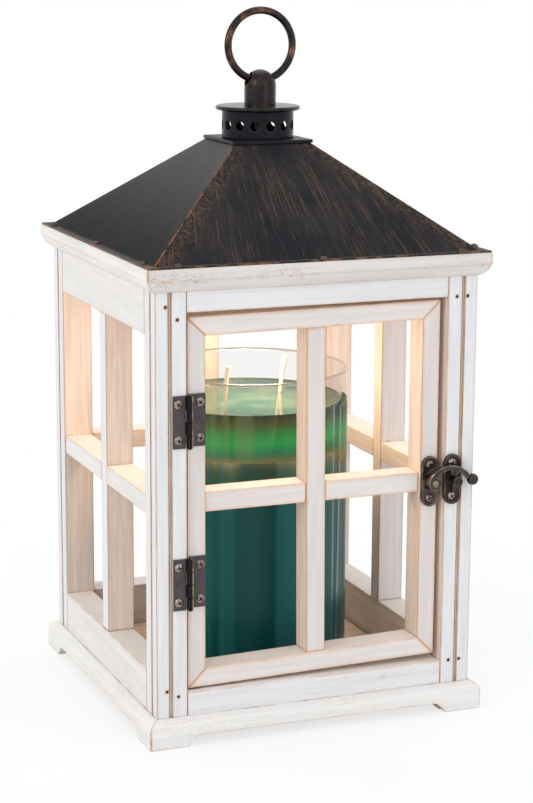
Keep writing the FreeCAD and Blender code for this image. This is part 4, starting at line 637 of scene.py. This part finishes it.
def ease(piece, width, segments=3, angle=30):
    """Rounds the edges by a width."""
    in_hand(piece)
    bpy.ops.object.shade_smooth()
    return modify(piece, "BEVEL", width=width * MM, segments=segments, limit_method="ANGLE",
                  angle_limit=math.radians(angle), harden_normals=True)


def carve(piece, cutter):
    modify(piece, "BOOLEAN", operation="DIFFERENCE", object=cutter, solver="EXACT")
    bpy.data.objects.remove(cutter)
    return piece


def apply_place(piece):
    in_hand(piece)
    bpy.ops.object.transform_apply(location=True, rotation=True, scale=True)
    return piece


def middle_of(low, high):
    return [(a + b) / 2 for a, b in zip(low, high)]


def block(name, low, high):
    """A block between two corners."""
    nothing_selected()
    bpy.ops.mesh.primitive_cube_add(size=1, location=Vector(middle_of(low, high)) * MM)
    piece = bpy.context.active_object
    piece.name = name
    piece.scale = [(b - a) * MM for a, b in zip(low, high)]
    return apply_place(piece)


def points_of(node, keep=None):
    found = [vertex.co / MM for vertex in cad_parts[node].data.vertices]
    return [point for point in found if keep is None or keep(point)]


def corners(points):
    return [min(p[i] for p in points) for i in range(3)], [max(p[i] for p in points) for i in range(3)]


BOARD_ROUNDING = 0.45


def board(name, node, keep=None):
    """A sawn board that fills a straight solid."""
    return ease(block(name, *corners(points_of(node, keep))), BOARD_ROUNDING)


def slanted_board(name, node, level, keep=None):
    """A board whose four corners, seen from the front, are those of a mitred or leaning solid."""
    points = points_of(node, keep)
    low, high = corners(points)
    lean_x, lean_z = (0.3, 1.0) if level else (1.0, 0.3)
    piece = block(name, low, high)
    mesh = bmesh.new()
    mesh.from_mesh(piece.data)
    middle = Vector(middle_of(low, high)) * MM
    for vertex in mesh.verts:
        right = 1 if vertex.co.x > middle.x else -1
        up = 1 if vertex.co.z > middle.z else -1
        corner = max(points, key=lambda p: right * lean_x * p.x + up * lean_z * p.z)
        vertex.co.x, vertex.co.z = corner.x * MM, corner.z * MM
    mesh.to_mesh(piece.data)
    mesh.free()
    return ease(piece, BOARD_ROUNDING)


def outlined(name, points, fill="NGON"):
    """A closed line or face through some points, selected in edit mode."""
    nothing_selected()
    bpy.ops.mesh.primitive_circle_add(vertices=len(points), radius=1, fill_type=fill, enter_editmode=True)
    piece = bpy.context.active_object
    piece.name = name
    mesh = bmesh.from_edit_mesh(piece.data)
    for vertex, point in zip(mesh.verts, points):
        vertex.co = Vector(point) * MM
    bmesh.update_edit_mesh(piece.data)
    bpy.ops.mesh.select_all(action="SELECT")
    return piece


def extrude(x, y, z):
    bpy.ops.mesh.extrude_region_move(TRANSFORM_OT_translate={"value": (x * MM, y * MM, z * MM)})


def close_up(piece):
    """Turns the faces outwards and leaves edit mode."""
    bpy.ops.mesh.select_all(action="SELECT")
    bpy.ops.mesh.normals_make_consistent(inside=False)
    bpy.ops.object.mode_set(mode="OBJECT")
    return piece


def prism(name, outline, start, end):
    """An outline of (across, up) drawn out from front to back."""
    piece = outlined(name, [(across, start, up) for across, up in outline])
    extrude(0, end - start, 0)
    return close_up(piece)


def arc(start, end, radius, side, steps=6):
    """Points on an arc that bulges to the left (side 1) or right (side -1) of its way, after its start."""
    a, b = Vector(start), Vector(end)
    chord = b - a
    across = Vector((-chord.y, chord.x)).normalized()
    centre = (a + b) / 2 - across * side * math.sqrt(max(radius ** 2 - (chord.length / 2) ** 2, 0))
    first = math.atan2(*(a - centre).yx)
    sweep = math.atan2(*(b - centre).yx) - first
    sweep = (sweep + math.pi) % (2 * math.pi) - math.pi
    turns = [first + sweep * i / steps for i in range(1, steps + 1)]
    return [tuple(centre + radius * Vector((math.cos(turn), math.sin(turn)))) for turn in turns]


def turn_about_lantern(piece, side):
    piece.rotation_euler.z = math.pi / 2 * SIDES.index(side)
    return apply_place(piece)


def moulding(name, profile, side):
    """A mitred length of a profile of (out, up), on one side of the lantern."""
    piece = outlined(name, [(-out, -out, up) for out, up in profile])
    extrude(1 / MM, 0, 0)
    mesh = bmesh.from_edit_mesh(piece.data)
    for vertex in mesh.verts:
        if vertex.select:
            vertex.co.x = -vertex.co.y
    bmesh.update_edit_mesh(piece.data)
    return turn_about_lantern(close_up(piece), side)


def spun(name, profile, centre, steps=96):
    """A closed profile of (radius, height) spun about an upright axis."""
    across, along = centre
    piece = outlined(name, [(across + radius, along, height) for radius, height in profile], "NOTHING")
    bpy.ops.mesh.spin(steps=steps, angle=2 * math.pi, center=(across * MM, along * MM, 0), axis=(0, 0, 1))
    bpy.ops.mesh.select_all(action="SELECT")
    bpy.ops.mesh.remove_doubles(threshold=1e-6)
    close_up(piece)
    smooth_by_angle(40)
    return piece


def linked(name, mesh):
    piece = bpy.data.objects.new(name, mesh)
    bpy.context.scene.collection.objects.link(piece)
    return piece


def fitted_copy(node):
    """The solid of a node as one joined mesh."""
    piece = in_hand(linked(node + "_piece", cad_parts[node].data.copy()))
    bpy.ops.object.mode_set(mode="EDIT")
    bpy.ops.mesh.select_all(action="SELECT")
    bpy.ops.mesh.remove_doubles(threshold=2e-6)
    bpy.ops.mesh.dissolve_limited(angle_limit=math.radians(0.5))
    bpy.ops.object.mode_set(mode="OBJECT")
    return piece


def turned_metal(node, finish, body):
    """A machined piece, its round faces smooth."""
    piece = fitted_copy(node)
    smooth_by_angle(35)
    settle(piece, finish, body, node)


def cast_metal(node, finish, body, grain=0.17, rounds=3):
    """A cast piece: all its edges are soft."""
    piece = fitted_copy(node)
    modify(piece, "REMESH", mode="VOXEL", voxel_size=grain * MM, use_smooth_shade=True)
    modify(piece, "SMOOTH", factor=0.5, iterations=rounds)
    settle(piece, finish, body, node)


def solids_of(node):
    """The lowest and highest corner of each separate solid of a node."""
    mesh = bmesh.new()
    mesh.from_mesh(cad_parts[node].data)
    bmesh.ops.remove_doubles(mesh, verts=mesh.verts, dist=1e-6)
    waiting, found = set(mesh.verts), []
    while waiting:
        reached = [waiting.pop()]
        for vertex in reached:
            near = {edge.other_vert(vertex) for edge in vertex.link_edges} & waiting
            waiting -= near
            reached.extend(near)
        found.append(corners([vertex.co / MM for vertex in reached]))
    mesh.free()
    return sorted(found)


def screw_head(radius, height):
    """A domed head with a cross in it, upright at the middle of the scene."""
    rim = (radius, height * 0.25)
    dome = arc(rim, (0.0, height), radius * 1.25, -1, 8)
    head = spun("head_model", [(0.0, 0.0), (radius, 0.0), rim, *dome], (0.0, 0.0), 40)
    arm, slot = radius * 0.62, radius * 0.15
    for long, short in ((arm, slot), (slot, arm)):
        carve(head, block("cross", (-long, -short, height * 0.35), (long, short, height + 1)))
    in_hand(head)
    smooth_by_angle(40)
    # the faces inside the cross are marked, so that the finish can paint them black as painted shade
    arm_reach, slot_reach = arm * 1.01 * MM, slot * 1.01 * MM
    cross = head.data.attributes.new("cross", "FLOAT", "FACE")
    for face in head.data.polygons:
        spread = sorted(max(abs(head.data.vertices[i].co[axis]) for i in face.vertices) for axis in (0, 1))
        cross.data[face.index].value = float(spread[0] <= slot_reach and spread[1] <= arm_reach)
    return head


def screws(node, finish, body, aim, radius, height):
    """A cross-headed screw on each solid of a node, every head turned a little differently."""
    model = screw_head(radius, height)
    for count, (low, high) in enumerate(solids_of(node)):
        x, y, z = middle_of(low, high)
        turn = Matrix.Rotation(0.55 + count * 1.17, 4, "Z")
        if aim == "front":
            at = (x, low[1] + height, z)
            turn = Matrix.Rotation(math.pi / 2, 4, "X") @ turn
        else:
            at = (x, y, SHEET_TOP)
        piece = linked(f"{node}_head_{count + 1}", model.data.copy())
        piece.data.transform(Matrix.Translation(Vector(at) * MM) @ turn)
        settle(piece, finish, body, node)
    bpy.data.objects.remove(model)


# ---------------------------------------------------------------- wooden frame

POST_FACE, GROOVE_AT, GROOVE_REACH, NAIL_RADIUS = 80.0, 73.0, 0.72, 0.8
NAILS = {"front_left": ((-75.0, 206.5), (-69.4, 200.5), (-75.0, 26.4), (-69.4, 23.4)),
         "front_right": ((75.0, 203.5), (69.4, 203.5), (75.0, 24.9), (69.4, 24.9))}


def corner_post(corner, side_x, side_y):
    """A square post with a V groove along both outer faces."""
    node = "post_" + corner
    piece = block(node + "_timber", *corners(points_of(node)))
    for x, y in ((GROOVE_AT, POST_FACE), (POST_FACE, GROOVE_AT)):
        groove = block("groove", (-GROOVE_REACH, -GROOVE_REACH, -5), (GROOVE_REACH, GROOVE_REACH, 240))
        groove.rotation_euler.z = math.pi / 4
        groove.location = (side_x * x * MM, side_y * y * MM, 0)
        carve(piece, groove)
    ease(piece, 0.4, 2, 40)
    for x, z in NAILS.get(corner, ()):
        nothing_selected()
        bpy.ops.mesh.primitive_cylinder_add(vertices=20, radius=NAIL_RADIUS * MM, depth=3 * MM,
                                            location=(x * MM, (0.5 - POST_FACE) * MM, z * MM),
                                            rotation=(math.pi / 2, 0, 0))
        carve(piece, bpy.context.active_object)
    settle(piece, UPRIGHT, "lantern", node)


for corner, (side_x, side_y) in CORNERS.items():
    corner_post(corner, side_x, side_y)

UPRIGHTS = {"back": UPRIGHT_BACK, "left": UPRIGHT_LEFT, "right": UPRIGHT_RIGHT}
for side in SIDES:
    level, axis = (LEVEL_X, 0) if side in ("front", "back") else (LEVEL_Y, 1)
    for end in ("top", "bottom"):
        node = f"{side}_{end}_rail"
        settle(board(node + "_board", node), level, "lantern", node)
    if side in UPRIGHTS:
        node = side + "_upright"
        settle(board(node + "_bar", node), UPRIGHTS[side], "lantern", node)
        node = side + "_crossbars"
        for half, sign in (("a", -1), ("b", 1)):
            bar = board(f"{node}_{half}", node, lambda p: p[axis] * sign > 0)
            settle(bar, level, "lantern", node)

# profiles of (out, up), and the arch between the feet as (across, up)
CROWN = [(80.0, 213.0), (80.0, 224.2), (84.3, 224.2), *arc((84.3, 224.2), (85.1, 223.4), 0.8, 1, 4),
         (85.1, 218.8), (84.8, 218.8), *arc((84.8, 218.8), (80.0, 213.0), 7.38, 1, 8)[:-1]]
SKIRT = [(80.0, 0.0), (80.0, 13.8), (82.2, 12.9), *arc((82.2, 12.9), (84.8, 8.8), 4.53, 1, 8), (84.8, 0.0)]
ARCH = [(-66.0, -2.0), (-66.0, 0.0), *arc((-66.0, 0.0), (-60.6, 5.0), 10.4, 1, 8),
        (60.6, 5.0), *arc((60.6, 5.0), (66.0, 0.0), 10.4, 1, 8), (66.0, -2.0)]

for side in SIDES:
    crown_finish, skirt_finish = (CROWN_X, SKIRT_X) if side in ("front", "back") else (CROWN_Y, SKIRT_Y)
    crown = ease(moulding(f"crown_{side}_length", CROWN, side), 0.35, 2, 40)
    settle(crown, crown_finish, "lantern", "crown_moulding")
    skirt = moulding(f"skirt_{side}_length", SKIRT, side)
    carve(skirt, turn_about_lantern(prism("arch", ARCH, -90.0, -76.0), side))
    settle(ease(skirt, 0.35, 2, 28), skirt_finish, "lantern", f"skirt_{side}")

for node in ("floor_board", "floor_cleats"):
    settle(ease(fitted_copy(node), 0.3), FLOOR_PINE, "lantern", node)
turned_metal("ceiling_board", FLOOR_PINE, "lantern")
turned_metal("brad_nails", NAIL, "lantern")


# ---------------------------------------------------------------- door

for node, level in (("door_hinge_stile", False), ("door_latch_stile", False),
                    ("door_top_rail", True), ("door_bottom_rail", True), ("door_upright", False)):
    piece = slanted_board(node + "_board", node, level)
    settle(piece, DOOR_LEVEL if level else DOOR_UPRIGHT, "door", node)
for half, sign in (("a", -1), ("b", 1)):
    bar = slanted_board("door_crossbar_" + half, "door_crossbars", True, lambda p: p.x * sign > 0)
    settle(bar, DOOR_LEVEL, "door", "door_crossbars")

cast_metal("hinge_frame_leaves", HINGE_STEEL, "lantern", 0.18, 2)
cast_metal("hinge_door_leaves", HINGE_STEEL, "door", 0.18, 2)
turned_metal("hinge_pins", HINGE_STEEL, "lantern")
screws("frame_screws", NICKEL, "lantern", "front", 2.05, 1.15)
screws("door_screws", NICKEL, "door", "front", 2.05, 1.15)
cast_metal("latch_plate", LATCH_BRASS, "door")
cast_metal("latch_hook", LATCH_BRASS, "latch", 0.15, 5)
cast_metal("latch_rivet", RIVET_BRASS, "door", 0.12, 2)
cast_metal("catch_plate", PIN_BRONZE, "lantern")


# ---------------------------------------------------------------- roof and lamp

def roof():
    """Folded sheet: a flat flange, four slopes, open under the top plate."""
    nothing_selected()
    bpy.ops.mesh.primitive_plane_add(size=FLANGE_HALF * 2 * MM, location=(0, 0, SHEET_TOP * MM),
                                     enter_editmode=True)
    piece = bpy.context.active_object
    piece.name = "roof_sheet"
    bpy.ops.mesh.select_all(action="SELECT")
    bpy.ops.mesh.inset(thickness=(FLANGE_HALF - SLOPE_HALF) * MM)
    extrude(0, 0, SLOPE_RISE)
    narrower = NECK_HALF / SLOPE_HALF
    bpy.ops.transform.resize(value=(narrower, narrower, 1), center_override=(0, 0, 0))
    bpy.ops.mesh.inset(thickness=4.6 * MM)
    bpy.ops.mesh.delete(type="FACE")
    apply_place(close_up(piece))
    if piece.data.polygons[0].normal.z < 0:
        piece.data.flip_normals()
    modify(piece, "SOLIDIFY", thickness=SHEET_THICKNESS * MM, offset=-1, use_even_offset=True)
    return ease(piece, 0.5, 3, 20)


settle(roof(), ROOF_BRONZE, "lantern", "roof_shell")
settle(ease(fitted_copy("roof_cap"), 0.35, 2, 40), CAP_ENAMEL, "lantern", "roof_cap")
cast_metal("vent_collar", COLLAR_ENAMEL, "lantern", 0.28, 4)
turned_metal("cap_disc", DISC_BRONZE, "lantern")
turned_metal("finial", FINIAL_BRONZE, "lantern")
turned_metal("carry_ring", RING_BRONZE, "ring")
screws("roof_screws", ROOF_NICKEL, "lantern", "up", 2.1, 1.6)
turned_metal("finial_screw", DARK_FIXING, "lantern")
turned_metal("cord_gland", RUBBER, "lantern")

turned_metal("bulb", BULB, "bulb")
turned_metal("lamp_holder", CERAMIC, "lantern")
turned_metal("lamp_strap", ZINC, "lantern")
turned_metal("lamp_leads", SLEEVE, "lantern")
turned_metal("terminal_block", BLOCK_PLASTIC, "lantern")
turned_metal("lamp_screws", DARK_FIXING, "lantern")


# ---------------------------------------------------------------- candle

WAX_RADIUS, WICK_RADIUS = 46.35, 1.05
BOWL = [(WAX_RADIUS, 121.5), *arc((WAX_RADIUS, 121.5), (0.0, 116.0), 198.0, 1, 10)]
POOL_FLOOR = [(radius, height + 0.05) for radius, height in reversed(BOWL)]
POOL_TOP = [(WAX_RADIUS, 144.95), (46.0, 144.6), (45.0, 144.35), (43.0, 144.25), (0.0, 144.25)]
wax = spun("wax_block", [(0.0, 18.8), (WAX_RADIUS, 18.8), *BOWL], JAR_MIDDLE)
settle(wax, WAX, "candle", "candle_wax")
melt = spun("wax_melt", POOL_FLOOR + POOL_TOP, JAR_MIDDLE)
settle(melt, MELT, "candle", "candle_wax")
turned_metal("candle_jar", JAR_GLASS, "candle")


def wick(name, route):
    """A waxed cotton wick along a few points, its end a little frayed."""
    nothing_selected()
    bpy.ops.curve.primitive_nurbs_path_add()
    piece = bpy.context.active_object
    piece.name = name
    piece.data.splines.clear()
    spline = piece.data.splines.new("NURBS")
    spline.points.add(len(route) - 1)
    for point, (x, y, z) in zip(spline.points, route):
        point.co = (x * MM, y * MM, z * MM, 1)
        point.radius = 1.4 if z == route[-1][2] else 1.0
    spline.order_u = 3
    spline.use_endpoint_u = True
    piece.data.bevel_depth = WICK_RADIUS * MM
    piece.data.bevel_resolution = 4
    piece.data.use_fill_caps = True
    piece.data.resolution_u = 8
    bpy.ops.object.convert(target="MESH")
    smooth_by_angle(50)
    settle(piece, COTTON, "candle", "candle_wicks")


wick("wick_left", [(-20.4, 0.3, 113.0), (-19.0, 0.1, 126.0), (-17.2, 0.5, 139.0),
                   (-16.4, 0.3, 146.0), (-16.1, 0.3, 153.0), (-14.6, 0.3, 161.0)])
wick("wick_right", [(13.3, 11.0, 113.0), (14.6, 11.3, 126.0), (16.3, 10.7, 139.0),
                    (17.3, 11.0, 146.0), (18.0, 11.0, 154.0), (19.6, 11.0, 162.0)])


# ---------------------------------------------------------------- floor, light and camera

WHITE = (1.0, 1.0, 1.0)
PAPER = (0.88, 0.88, 0.88), (0.90, 0.90, 0.90)
SEEN = ("Camera", "Transmission", "Glossy")
NEAR_FLOOR, FAR_FLOOR = 130.0, 330.0    # between these the shadow on the floor fades


def stage_floor():
    """A pale floor that is white where it is seen, but for the shadow of the lantern."""
    nothing_selected()
    bpy.ops.mesh.primitive_plane_add(size=12, location=(0, 0, 0))
    floor = bpy.context.active_object
    floor.name = "studio_floor"
    f = Finish("studio_white")
    x, y, _ = f.place()
    tone = f.blend(f.mottle(0.01, 2.0, 0.5), *PAPER)
    paper = f.shader(base_color=tone, roughness=0.9, specular_ior_level=0.1)
    far = (x * x + y * y).over(NEAR_FLOOR ** 2, FAR_FLOOR ** 2)
    white = f.node("ShaderNodeEmission", None, {"Color": WHITE, "Strength": 1.0})
    floor.data.materials.append(f.show(f.mixed(f.rays(*SEEN) * (far * 0.28 + 0.72), paper, white)))


def studio_world():
    """Soft light from all round; white where it is seen."""
    f = Finish("studio", world=True)
    light = f.node("ShaderNodeBackground", None, {"Color": (0.97, 0.985, 1.0), "Strength": 0.95})
    white = f.node("ShaderNodeBackground", None, {"Color": WHITE, "Strength": 1.0})
    bpy.context.scene.world = f.show(f.mixed(f.rays(*SEEN), light, white))


def lamp(name, kind, place, aim, energy, colour, **settings):
    data = bpy.data.lights.new(name, kind)
    data.energy = energy
    data.color = colour
    for key, value in settings.items():
        setattr(data, key, value)
    light = linked(name, data)
    light.location = place
    light.rotation_euler = (Vector(aim) - Vector(place)).to_track_quat("-Z", "Y").to_euler()


def camera():
    """The view from the front left, a little above."""
    azimuth, elevation, roll = (math.radians(angle) for angle in (-21.386, 12.453, 0.251))
    level = Vector((math.sin(azimuth), -math.cos(azimuth), 0))
    back = level * math.cos(elevation) + Vector((0, 0, math.sin(elevation)))
    right = Vector((math.cos(azimuth), math.sin(azimuth), 0))
    up = back.cross(right)
    right, up = (right * math.cos(roll) + up * math.sin(roll), up * math.cos(roll) - right * math.sin(roll))
    data = bpy.data.cameras.new("studio_camera")
    view = linked("studio_camera", data)
    pose = Matrix((right, up, back)).transposed().to_4x4()
    pose.translation = Vector((0, 0, 0.133105)) + back * 1.091423
    view.matrix_world = pose
    data.lens, data.sensor_width, data.sensor_fit = 98.41, 36.0, "AUTO"
    data.shift_x, data.shift_y = 0.01266, 0.02266
    data.clip_start, data.clip_end = 0.05, 30
    bpy.context.scene.camera = view


camera()
stage_floor()
studio_world()
lamp("left_softbox", "AREA", (-1.65, -0.7, 1.0), (0, 0, 0.12), 9.4, (1.0, 0.94, 0.865), size=1.1)
lamp("front_softbox", "AREA", (0.7, -1.75, 0.7), (0, 0, 0.12), 3.0, (0.95, 0.98, 1.0), size=1.2)
lamp("top_softbox", "AREA", (0.2, 0.3, 1.7), (0, 0, 0.1), 3.0, WHITE, size=1.2)

# the bulb's light: a beam down on the candle, and a glow towards each side
BULB_LIGHT = (1.0, 0.77, 0.56)
lamp("bulb_beam", "SPOT", (0, 0, 0.1945), (0, 0, 0.05), 0.13, BULB_LIGHT,
     spot_size=math.radians(168), spot_blend=0.6, shadow_soft_size=0.02)
for quarter, (across, along) in enumerate(((0, -0.1), (0.1, 0), (0, 0.1), (-0.1, 0))):
    lamp(f"bulb_glow_{quarter + 1}", "AREA", (0, 0, 0.190), (across, along, 0.13), 0.045, BULB_LIGHT,
         size=0.03)
bpy.context.scene.view_settings.view_transform = "Standard"
